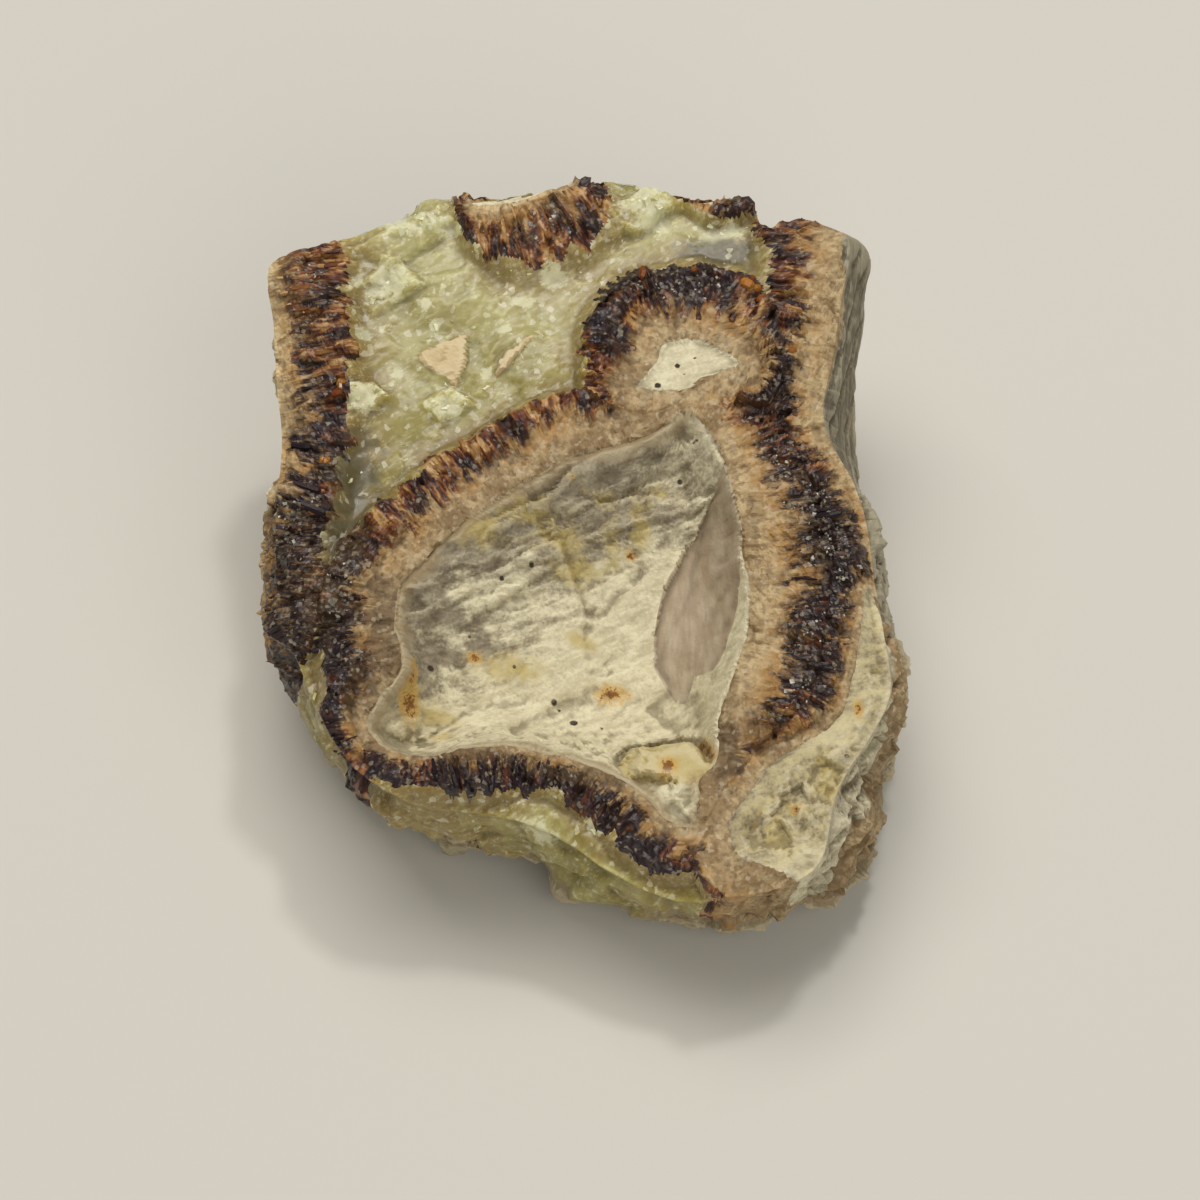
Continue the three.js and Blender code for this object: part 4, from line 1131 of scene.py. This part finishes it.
def make_limestone():
    material, g, shader = new_finish("limestone")
    here = g.in_millimetres()
    grain = g.use(sugar_grain, Place=here, Grains_per_mm=9.0)
    mottle = g.stretched_noise(g.turn(here, BED_ANGLE), (0.9, 2.4, 2.0), 4.0, 0.65)
    fine = g.noise(here, 7.0, 2.5, 0.65)
    pit, rind = g.numbers("pit"), g.numbers("rind")
    wear = g.step(g.plus(mottle, g.times(fine, 0.5)), 0.55, 0.95)
    grey = g.blend(wear, (124, 113, 93), (162, 151, 126))
    cream = g.blend(wear, (197, 186, 152), (229, 220, 186))
    creamy = g.plus(g.numbers("cream"), g.sway(fine, 0.5), g.sway(mottle, 0.8))
    stain = g.plus(g.numbers("ochre"), g.sway(fine, 0.8), g.sway(mottle, 0.8))
    iron = g.plus(g.numbers("rust"), g.sway(fine, 1.4))
    brink = g.plus(g.numbers("brink"), g.sway(fine, 1.0))
    lines = g.stretched_noise(here, (7.0, 0.5, 7.0), 3.0)
    faint = g.stretched_noise(here, (2.2, 0.5, 1.0), 3.0)
    weathered_rind = g.paint(
        g.blend(g.step(fine, 0.35, 0.65), (136, 120, 92), (168, 152, 120)),
        (g.step(mottle, 0.45, 0.65), 0.5, (184, 170, 138)),
    )
    base = g.paint(
        g.blend(g.step(creamy, 0.1, 0.85), grey, cream),
        (g.step(stain, 0.3, 0.95), 0.7, (190, 168, 96)),
        (g.step(iron, 0.2, 0.65), 0.75, (204, 160, 74)),
        (g.step(iron, 0.66, 0.85), 0.9, (124, 74, 30)),
        (g.numbers("shale"), 1, g.blend(g.step(lines, 0.3, 0.7), (96, 90, 76), (140, 130, 106))),
        (g.step(brink, 0.25, 0.85), 0.8, (152, 130, 94)),
        (g.step(rind, 0.15, 0.6), 1, weathered_rind),
        (g.numbers("flake"), 1, g.blend(fine, (196, 170, 124), (226, 204, 160))),
        (g.numbers("leaf"), 1, g.blend(g.step(faint, 0.35, 0.7), (168, 149, 122), (190, 174, 148))),
        (g.step(g.numbers("pore"), 0.4, 0.6), 1, (60, 52, 42)),
        # Painted shade: crevices are darkened, less so on the weathered rind.
        (g.times(g.step(pit, 0.52, 0.95), g.scaled(rind, -0.8, 1.0)), 0.55, (92, 78, 54)),
        # Painted highlight: crests are lightened.
        (g.step(pit, 0.5, 0.1), 0.3, (232, 222, 190)),
    )
    g.fill(shader, {
        "Base Color": base, "Roughness": g.scaled(g.numbers("leaf"), -0.25, 0.85), "Specular IOR Level": 0.3,
        "Normal": g.bump(g.plus(fine, g.times(grain["Grain"], 0.5)), 0.5, 0.06),
    })
    return material


limestone = make_limestone()
print("limestone:", len(limestone.node_tree.nodes), "nodes")

# %% [markdown]
# ## Banded calcite
# The root of the band takes its colour from the layer number, from sugary beige or tan to brown. The
# columns outside it take theirs from a tint that changes from bundle to bundle, from nearly black to
# amber. Streaks shift the layer number first, so that every border is jagged along the fibres, as it is
# where crystals grow side by side.
# Crevices are darkened with painted shade.

# %% The banded finish
def band_colours(g, layer_number, tint):
    """Colour along the layers: a beige or cream-tan root, then dark columns of mixed tints."""
    at = g.times(layer_number, 1 / 1.2)
    beige = g.ramp(
        at, (0.0, 142, 120, 84), (0.16, 168, 144, 104), (0.38, 164, 138, 98), (0.56, 182, 156, 112),
        (0.72, 164, 130, 82), (0.88, 128, 90, 52),
    )
    tan = g.ramp(
        at, (0.0, 206, 180, 132), (0.25, 222, 198, 150), (0.6, 206, 174, 120), (0.78, 168, 124, 70),
        (0.92, 116, 74, 42),
    )
    column = g.ramp(
        g.math("ADD", tint, g.scaled(g.numbers("dusk"), -0.8, 0.06), clamp=True),
        (0.0, 38, 27, 31), (0.26, 50, 33, 33), (0.44, 84, 46, 34), (0.6, 116, 66, 38), (0.76, 152, 106, 58),
        (0.9, 192, 154, 100),
    )
    root = g.blend(g.numbers("tone"), beige, tan)
    return g.blend(g.step(layer_number, 0.88, 1.12), root, column)


def weathered(g, base, patches):
    """Lets the weathered rind creep over a colour before the rind itself begins."""
    worn = g.plus(g.numbers("rind"), g.sway(patches, 0.6))
    return g.blend(g.step(worn, 0.15, 0.5), base, (152, 136, 106))


def make_banded():
    material, g, shader = new_finish("banded_calcite")
    here, fibre = g.in_millimetres(), g.numbers("fibre", "Vector")
    streaks = g.use(fibre_streaks, Fibre=fibre, Across=4.2, Along=0.75)
    hair = g.use(fibre_streaks, Fibre=fibre, Across=9.0, Along=1.2)["Streak"]
    grain = g.use(sugar_grain, Place=here, Grains_per_mm=6.5)
    coarse = g.use(sugar_grain, Place=here, Grains_per_mm=3.2)
    tint = g.use(bundle_tint, Fibre=fibre)["Tint"]
    patchy = g.noise(here, 0.8, 3.0, 0.6)
    layer_number = g.numbers("layer")
    shift = g.plus(g.sway(streaks["Streak"], 1.0), g.sway(streaks["Column"], 0.5), g.sway(hair, 1.2))
    shift = g.times(g.plus(shift, g.sway(patchy, 0.8)), g.step(layer_number, 0.3, 1.0))
    shifted = g.plus(layer_number, shift)
    pale = g.math("SUBTRACT", 1.0, g.step(shifted, 0.9, 1.3))
    fibrous = g.scaled(g.numbers("tone"), 0.8, 0.25, clamp=True)
    mixed = g.plus(g.times(grain["Grain"], 0.6), g.times(coarse["Grain"], 0.4))
    smoke = g.plus(g.numbers("smoky"), g.sway(patchy, 0.8))
    base = g.paint(
        band_colours(g, shifted, tint),
        (g.times(g.step(tint, 0.5, 0.9), pale, fibrous), 0.6, (212, 190, 148)),
        (g.times(g.step(tint, 0.42, 0.1), pale, fibrous), 0.75, (126, 90, 48)),
        (g.times(g.step(mixed, 0.5, 0.9), pale), 0.6, (204, 182, 142)),
        (g.times(g.step(mixed, 0.5, 0.1), pale), 0.5, (112, 88, 58)),
        (g.times(g.step(patchy, 0.48, 0.6), pale), 0.6, (122, 96, 60)),
        (g.times(g.step(patchy, 0.5, 0.4), g.step(shifted, 0.2, 0.8), pale), 0.7, (170, 126, 66)),
        (g.times(g.step(smoke, 0.3, 0.7), streaks["Streak"]), 1.3, (84, 64, 40)),
        (g.times(g.step(hair, 0.5, 0.68), fibrous), 0.35, (184, 148, 96)),
        (g.times(g.step(hair, 0.5, 0.32), fibrous), 0.3, (84, 58, 36)),
        (grain["Glint"], 0.3, (214, 200, 172)),
        # Painted shade: crevices are darkened.
        (g.step(g.numbers("pit"), 0.5, 1.0), 0.45, (44, 30, 20)),
    )
    height = g.plus(streaks["Streak"], g.times(hair, 0.6), g.times(grain["Grain"], 0.35))
    g.fill(shader, {
        "Base Color": weathered(g, base, mixed), "Roughness": g.scaled(pale, 0.3, 0.34),
        "Specular IOR Level": 0.4, "Normal": g.bump(height, 0.5, 0.07),
    })
    return material


banded = make_banded()
print("banded calcite:", len(banded.node_tree.nodes), "nodes")

# %% [markdown]
# ## Yellow spar
# The spar is waxy: light goes in, wanders about and comes out yellow-green, which is what subsurface
# scattering does. Bruises and crumbs are where cleavage has opened and the light can't get in, so they turn
# white and matt.
# Crevices are darkened a little with painted shade.

# %% The spar finish
def make_spar():
    material, g, shader = new_finish("yellow_spar")
    here = g.in_millimetres()
    grain = g.use(sugar_grain, Place=here, Grains_per_mm=4.5)
    cloud = g.noise(here, 0.5, 3.0, 0.55)
    fine = g.noise(here, 5.0, 2.5, 0.65)
    turned = g.turn(here, CLEAVAGE_ANGLE)
    cleft = g.stretched_noise(turned, (1.2, 4.5, 3.0), 3.0, 0.65)
    flecks = g.step(g.stretched_noise(turned, (4.0, 8.0, 6.0), 2.0), 0.57, 0.64)
    flecks = g.times(flecks, g.step(g.noise(here, 0.9, 3.0, 0.6), 0.35, 0.65))
    near_bands = g.math("SUBTRACT", 1.0, g.step(g.numbers("layer"), 1.9, 3.0))
    torn = g.plus(g.numbers("bruise"), g.sway(fine, 0.7), g.sway(cleft, 0.8))
    white = g.step(torn, 0.4, 0.7)
    smoke = g.plus(g.numbers("smoky"), g.sway(cloud, 0.8))
    base = g.paint(
        g.blend(g.step(cloud, 0.35, 0.65), (140, 128, 64), (166, 156, 90)),
        (g.numbers("milky"), 0.6, (194, 188, 134)),
        (near_bands, 0.7, (134, 100, 48)),
        (g.step(cleft, 0.48, 0.72), 0.4, (212, 205, 160)),
        (grain["Grain"], 0.12, (206, 198, 150)),
        (flecks, 0.45, (222, 218, 180)),
        (white, 0.8, (222, 219, 182)),
        (g.step(smoke, 0.2, 0.75), 0.85, (98, 92, 70)),
        (grain["Glint"], 0.5, (226, 220, 194)),
        # Painted shade: crevices are darkened a little.
        (g.step(g.numbers("pit"), 0.55, 1.0), 0.2, (108, 92, 50)),
    )
    g.fill(shader, {
        "Base Color": weathered(g, base, fine), "Roughness": g.scaled(white, 0.2, 0.36),
        "Subsurface Weight": 0.8, "Subsurface Radius": (1.0, 0.95, 0.45), "Subsurface Scale": 1.5 * MM,
        "Normal": g.bump(g.plus(fine, g.times(grain["Grain"], 0.6)), 0.22, 0.05),
    })
    return material


spar = make_spar()
for finish_material in (limestone, banded, spar):
    stone.data.materials.append(finish_material)
print("stone's finishes:", [m.name for m in stone.data.materials])

# %% [markdown]
# ## Brown blades
# Hundreds of small brown and tan crystals are set on the bands. That is work for Geometry Nodes: points
# are scattered on the stone where a density number allows, and one spindle-shaped crystal is copied to
# each, turned along the growth direction kept on the mesh. The tree ends by making the copies real, and
# the result is a plain mesh.

# %% One crystal of each kind
def crystal(name, rings, sides):
    """A pointed crystal one unit long, along Z. rings has (height, radius) pairs, from root to tip."""
    verts = [(0, 0, rings[0][0])]
    corners = [2 * math.pi * k / sides for k in range(sides)]
    for height, radius in rings[1:-1]:
        verts += [(radius * math.cos(corner), radius * math.sin(corner), height) for corner in corners]
    verts.append((0, 0, rings[-1][0]))
    last = len(verts) - 1
    faces = [(0, 1 + (k + 1) % sides, 1 + k) for k in range(sides)]
    for r in range(len(rings) - 3):
        low, high = 1 + r * sides, 1 + (r + 1) * sides
        faces += [(low + k, low + (k + 1) % sides, high + (k + 1) % sides, high + k) for k in range(sides)]
    top_ring = last - sides
    faces += [(top_ring + k, top_ring + (k + 1) % sides, last) for k in range(sides)]
    return shape_from(name, verts, faces)


def shape_from(name, verts, faces):
    """An object to be copied, whose vertices know their height as "tip"."""
    mesh = bpy.data.meshes.new(name)
    mesh.from_pydata(verts, [], faces)
    store(mesh, "tip", [vert[2] for vert in verts])
    return bpy.data.objects.new(name, mesh)


column_shape = crystal("column_shape", [(-0.5, 0), (-0.44, 0.7), (0.2, 1.0), (0.42, 0.8), (0.5, 0)], 6)
sliver_shape = crystal("sliver_shape", [(-0.5, 0), (-0.25, 0.8), (0.2, 1.0), (0.5, 0)], 4)
print("one column:", len(column_shape.data.polygons), "faces")

# %% The tree that scatters crystals
SCATTER_INPUTS = {
    "Stone": ("NodeSocketGeometry", None), "Crystal": ("NodeSocketObject", None),
    "Density per square metre": (NUMBER, 1e6), "Width": (NUMBER, 0.0001), "Length": (NUMBER, 0.001),
    "Lift": (NUMBER, 0.3), "Scatter": (NUMBER, 0.5), "Sink": (NUMBER, 0.0), "Spread": (NUMBER, 0.0),
    "Seed": ("NodeSocketInt", 1),
}


def scatter_tree(name, material):
    """A Geometry Nodes tree that copies a crystal to random points of a surface, turned along its growth."""
    outputs = {"Crystals": "NodeSocketGeometry"}
    g, given, result = new_graph("GeometryNodeTree", name, SCATTER_INPUTS, outputs)

    def named(label, kind="FLOAT"):
        return g.add("GeometryNodeInputNamedAttribute", {"Name": label}, data_type=kind).outputs[0]

    def random(kind, low, high, salt):
        seed = g.plus(given["Seed"], salt)
        least, most, output = ("Min", "Max", 0) if kind == "FLOAT_VECTOR" else (2, 3, 1)
        inputs = {least: low, most: high, "Seed": seed}
        return g.add("FunctionNodeRandomValue", inputs, data_type=kind).outputs[output]

    def longer(vector, amount):
        return g.add("ShaderNodeVectorMath", {0: vector, "Scale": amount}, operation="SCALE").outputs[0]

    def joined(a, b):
        return g.add("ShaderNodeVectorMath", {0: a, 1: b}, operation="ADD").outputs[0]

    density = g.times(named("density"), given["Density per square metre"])
    inputs = {"Mesh": given["Stone"], "Density": density, "Seed": given["Seed"]}
    spread = g.add("GeometryNodeDistributePointsOnFaces", inputs).outputs
    shake = longer(random("FLOAT_VECTOR", (-1, -1, -1), (1, 1, 1), 1), given["Scatter"])
    along = joined(joined(named("grow", "FLOAT_VECTOR"), longer(spread["Normal"], given["Lift"])), shake)
    turn = g.add("FunctionNodeAlignRotationToVector", {"Vector": along}, axis="Z").outputs[0]
    inputs = {"Axis": (0, 0, 1), "Angle": random("FLOAT", 0.0, 6.28, 2)}
    spin = g.add("FunctionNodeAxisAngleToRotation", inputs).outputs[0]
    turned = g.add("FunctionNodeRotateRotation", {0: turn, 1: spin}, rotation_space="LOCAL").outputs[0]
    rare = g.scaled(g.math("POWER", random("FLOAT", 0.0, 1.0, 7), 4.0), given["Spread"], 1.0)
    size = g.times(rare, named("size"))
    wide = g.times(given["Width"], random("FLOAT", 0.6, 1.4, 3), size)
    flat = g.times(wide, random("FLOAT", 0.55, 1.0, 6))
    long = g.times(given["Length"], random("FLOAT", 0.55, 1.35, 4), size)
    scale = g.add("ShaderNodeCombineXYZ", {0: wide, 1: flat, 2: long}).outputs[0]
    inputs = {"Geometry": spread["Points"], "Offset": longer(spread["Normal"], given["Sink"])}
    sunk = g.add("GeometryNodeSetPosition", inputs).outputs[0]
    inputs = {"Geometry": sunk, "Name": "tint", "Value": random("FLOAT", 0.0, 1.0, 5)}
    tinted = g.add("GeometryNodeStoreNamedAttribute", inputs, data_type="FLOAT", domain="POINT").outputs[0]
    shape = g.add("GeometryNodeObjectInfo", {"Object": given["Crystal"]}, transform_space="ORIGINAL")
    inputs = {"Points": tinted, "Instance": shape.outputs["Geometry"], "Rotation": turned, "Scale": scale}
    copies = g.add("GeometryNodeInstanceOnPoints", inputs).outputs[0]
    real = g.add("GeometryNodeRealizeInstances", {"Geometry": copies}).outputs[0]
    painted = g.add("GeometryNodeSetMaterial", {"Geometry": real, "Material": material})
    g.fill(result, {"Crystals": painted.outputs[0]})
    return g.tree


KEPT_NUMBERS = {"layer", "tone", "dusk", "bruise", "fibre", "tint", "tip"}


def grow_crystals(name, tree, settings, density, size=1.0):
    """Runs a scatter tree on the stone and keeps the result as a plain mesh object."""
    base = stone.data.copy()
    store(base, "density", density)
    store(base, "size", size * np.ones(len(points)))
    maker = bpy.data.objects.new(name + "_maker", base)
    bpy.context.scene.collection.objects.link(maker)
    modifier = maker.modifiers.new("scatter", "NODES")
    modifier.node_group = tree
    for item in tree.interface.items_tree:
        if item.in_out == "INPUT" and item.name in settings:
            modifier[item.identifier] = settings[item.name]
    depsgraph = bpy.context.evaluated_depsgraph_get()
    mesh = bpy.data.meshes.new_from_object(
        maker.evaluated_get(depsgraph), preserve_all_data_layers=True, depsgraph=depsgraph
    )
    maker.modifiers.clear()
    bpy.data.objects.remove(maker)
    bpy.data.meshes.remove(base)
    mesh.name = name
    for extra in {*masks, *vectors, *triangle_masks, "density", "size"} - KEPT_NUMBERS:
        if extra in mesh.attributes:
            mesh.attributes.remove(mesh.attributes[extra])
    obj = bpy.data.objects.new(name, mesh)
    bpy.context.scene.collection.objects.link(obj)
    mesh.calc_loop_triangles()
    print(f"{name}: {len(mesh.loop_triangles)} triangles")
    return obj


# %% [markdown]
# ## Finish of the blades
# A blade takes its colour from the layer that it grows in, from the tint of its bundle and from a random
# tint of its own, so that tan, black, red and amber crystals stand side by side. They are glossy, and
# each one gives its own small highlight.

# %% Blades on the bands
def make_blade():
    material, g, shader = new_finish("brown_blades")
    here = g.in_millimetres()
    fine = g.noise(here, 6.0)
    at = g.plus(g.numbers("layer"), g.sway(fine, 0.4), g.times(g.numbers("tip"), 0.25))
    bundles = g.use(bundle_tint, Fibre=g.numbers("fibre", "Vector"))
    varied = g.plus(bundles["Tint"], g.sway(g.numbers("tint"), 0.3), g.sway(fine, 0.3))
    g.fill(shader, {
        "Base Color": band_colours(g, at, varied), "Roughness": g.scaled(fine, 0.4, 0.26),
        "Specular IOR Level": 0.25, "Normal": g.bump(g.noise(here, 12.0), 0.4, 0.05),
    })
    return material


blade_tree = scatter_tree("blade_scatter", make_blade())
is_calcite = (layers["layer"] > 0) & (masks["rind"] < 0.5)
near_edge = np.where(zone == "face", smooth(0.0, 0.8, distance_to(FACE_CURVE, u, v)), 0.2)
dark_band = smooth(1.0, 1.15, layer) * (1 - smooth(1.8, 2.0, layer)) * is_calcite
room = np.clip(layers["thick"] / 1.6, 0.3, 1.1)
clusters = soft_noise(points, 1.0, 24, 2)
brown_columns = grow_crystals(
    "brown_columns", blade_tree,
    {"Crystal": column_shape, "Density per square metre": 1.0e6, "Width": 0.09 * MM, "Length": 0.6 * MM,
     "Lift": -0.05, "Scatter": 0.12, "Sink": -0.08 * MM, "Spread": 0.5, "Seed": 3},
    dark_band * smooth(-0.3, 0.3, clusters), mix(0.5, 1.1, near_edge) * room,
)
fibre_band = smooth(0.7, 1.0, layer) * (1 - smooth(1.2, 1.5, layer)) * is_calcite
tan_slivers = grow_crystals(
    "tan_slivers", blade_tree,
    {"Crystal": sliver_shape, "Density per square metre": 0.8e6, "Width": 0.06 * MM, "Length": 0.5 * MM,
     "Lift": 0.03, "Scatter": 0.12, "Sink": -0.015 * MM, "Spread": 0.4, "Seed": 5},
    fibre_band, mix(0.5, 1.1, near_edge),
)

# %% [markdown]
# ## Spar chips
# Calcite cleaves into little rhombs. Chips and crumbs of it lie all over the spar, thickest on the
# bruises, and paler crumbs dust the dark bands in places. The same tree does the work with another
# crystal, a slanted block, which is turned mostly by the surface and by chance.

# %% Chips on the spar
def make_chip_material(name, dull, bright):
    """A finish for crumbs of calcite, from a dull to a bright colour by each crumb's tint."""
    material, g, shader = new_finish(name)
    tint = g.numbers("tint")
    white = g.step(g.plus(tint, g.times(g.numbers("bruise"), 0.8)), 0.45, 1.0)
    g.fill(shader, {
        "Base Color": g.blend(white, dull, bright), "Roughness": g.scaled(tint, 0.3, 0.45),
        "Specular IOR Level": 0.3,
    })
    return material


def chip(name, seed):
    """A slanted, broken block about one unit across, as calcite cleaves."""
    shake = np.random.default_rng(seed).uniform(-0.16, 0.16, (8, 3))
    verts = [(x + 0.25 * z, y + 0.2 * z, z) for z in (-0.35, 0.35) for y in (-0.5, 0.5) for x in (-0.5, 0.5)]
    verts = [(np.array(vert) * (0.75 if vert[2] > 0 else 1.0) + s).tolist() for vert, s in zip(verts, shake)]
    faces = [(0, 2, 3, 1), (4, 5, 7, 6), (0, 1, 5, 4), (1, 3, 7, 5), (3, 2, 6, 7), (2, 0, 4, 6)]
    return shape_from(name, verts, [tri for a, b, c, d in faces for tri in ((a, b, c), (a, c, d))])


chip_shape = chip("chip_shape", 7)
chip_tree = scatter_tree("chip_scatter", make_chip_material("spar_chips", (196, 188, 134), (234, 230, 192)))
on_spar = smooth(2.0, 2.15, layer) * is_calcite
clumps = smooth(-0.1, 0.5, soft_noise(points, 1.2, 22, 2))
bare = ~on_flakes(shaken_u, shaken_v) * on_spar * np.where(on_face, 1.0, 0.3)
chip_density = bare * (0.015 + 0.07 * clumps + 0.25 * smooth(0.4, 0.7, masks["bruise"]))
spar_chips = grow_crystals(
    "spar_chips", chip_tree,
    {"Crystal": chip_shape, "Density per square metre": 20e6, "Width": 0.1 * MM, "Length": 0.09 * MM,
     "Lift": 1.4, "Scatter": 1.0, "Sink": -0.02 * MM, "Spread": 3.0, "Seed": 11},
    chip_density, mix(0.7, 1.1, clumps),
)
crumb_density = dark_band * smooth(0.3, 0.6, spots(u, v, DRUSE, 0.4, 30))
crumb_density *= smooth(-0.3, 0.4, soft_noise(points, 0.7, 25, 2))
frost_tree = scatter_tree("frost_scatter", make_chip_material("frost", (120, 114, 100), (212, 205, 188)))
pale_crumbs = grow_crystals(
    "pale_crumbs", frost_tree,
    {"Crystal": chip_shape, "Density per square metre": 14e6, "Width": 0.08 * MM, "Length": 0.08 * MM,
     "Lift": 1.0, "Scatter": 1.0, "Sink": 0.02 * MM, "Spread": 1.8, "Seed": 13},
    crumb_density,
)

# %% [markdown]
# ## Amber crystals
# A few crystals at the edge of the brown bands grew thick and clear, and glow like drops of amber. They are
# the same spindles, but stout, and set only where a listed spot allows.

# %% Amber crystals
AMBER = [
    (-10.4, 2.6, 0.4, 0.35), (-10.1, 5.9, 0.5, 0.5), (7.2, 12.2, 0.5, 0.5), (4.8, 11.0, 0.45, 0.4),
    (0.6, 10.9, 0.4, 0.3), (2.7, 11.2, 0.4, 0.3), (7.0, 10.1, 0.4, 0.5), (-9.0, 1.2, 0.3, 0.3),
    (8.4, 7.3, 0.3, 0.3),
]


def make_amber():
    material, g, shader = new_finish("amber_crystals")
    tint = g.numbers("tint")
    g.fill(shader, {
        "Base Color": g.blend(tint, (112, 54, 18), (178, 118, 42)), "Roughness": g.scaled(tint, 0.1, 0.24),
        "Subsurface Weight": 0.6, "Subsurface Radius": (1.0, 0.45, 0.12), "Subsurface Scale": 0.8 * MM,
    })
    return material


stout_shape = crystal("stout_shape", [(-0.5, 0), (-0.3, 0.8), (0.05, 1.0), (0.35, 0.75), (0.5, 0)], 8)
amber_tree = scatter_tree("amber_scatter", make_amber())
amber_spots = smooth(0.45, 0.6, spots(u, v, AMBER, 0.2, 26)) * on_face * (layer > 0.8) * (layer < 1.9)
amber_crystals = grow_crystals(
    "amber_crystals", amber_tree,
    {"Crystal": stout_shape, "Density per square metre": 5e6, "Width": 0.22 * MM, "Length": 0.5 * MM,
     "Lift": 0.2, "Scatter": 0.5, "Sink": -0.06 * MM, "Spread": 0.5, "Seed": 17},
    amber_spots,
)

# %% [markdown]
# ## Floor and light
# A plain pale floor and large soft lamps let the stone speak for itself. A big lamp overhead gives the
# shape, a weaker one fills the shadows, and a small one puts points of light on the crystal faces.

# %% The stage
FLOOR_HALF = 0.6
FLOOR_GAP = 0.02 * MM
LAMPS_AIM = Vector((0, 0, 0.008))


def make_floor():
    """A pale square a hair below the stone's foot."""
    mesh = bpy.data.meshes.new("floor")
    corners = [(x * FLOOR_HALF, y * FLOOR_HALF, 0) for x, y in ((-1, -1), (1, -1), (1, 1), (-1, 1))]
    mesh.from_pydata(corners, [], [(0, 1, 2, 3)])
    obj = bpy.data.objects.new("floor", mesh)
    obj.location.z = -FLOOR_GAP
    bpy.context.scene.collection.objects.link(obj)
    material, g, shader = new_finish("pale_floor")
    g.fill(shader, {"Base Color": colour(211, 207, 197), "Roughness": 0.8})
    mesh.materials.append(material)
    return obj


def lamp(name, at, size, watts, warmth):
    """A square soft lamp that looks at the stone."""
    light = bpy.data.lights.new(name, "AREA")
    light.size = size
    light.energy = watts
    light.color = warmth
    obj = bpy.data.objects.new(name, light)
    obj.location = at
    obj.rotation_euler = (LAMPS_AIM - Vector(at)).to_track_quat("-Z", "Y").to_euler()
    bpy.context.scene.collection.objects.link(obj)


floor = make_floor()
lamp("key", (-0.06, 0.10, 0.38), 0.26, 0.88, (1.0, 0.97, 0.93))
lamp("fill", (0.12, -0.26, 0.26), 0.3, 0.48, (1.0, 0.98, 0.94))
lamp("sparkle", (0.05, 0.1, 0.3), 0.03, 0.2, (1.0, 1.0, 1.0))
world = bpy.data.worlds.new("studio")
world.use_nodes = True
background = world.node_tree.nodes["Background"]
Graph(world.node_tree).fill(background, {"Color": (0.94, 0.94, 0.93, 1), "Strength": 0.19})
bpy.context.scene.world = world
bpy.context.scene.view_settings.view_transform = "Standard"

# %% [markdown]
# ## Tie it to the frame
# Every piece rides on the one body, and the stone's mesh stands for the solid.

# %% Finish
for piece in (stone, brown_columns, tan_slivers, spar_chips, pale_crumbs, amber_crystals):
    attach(piece, "root")
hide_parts("septarian_nodule")
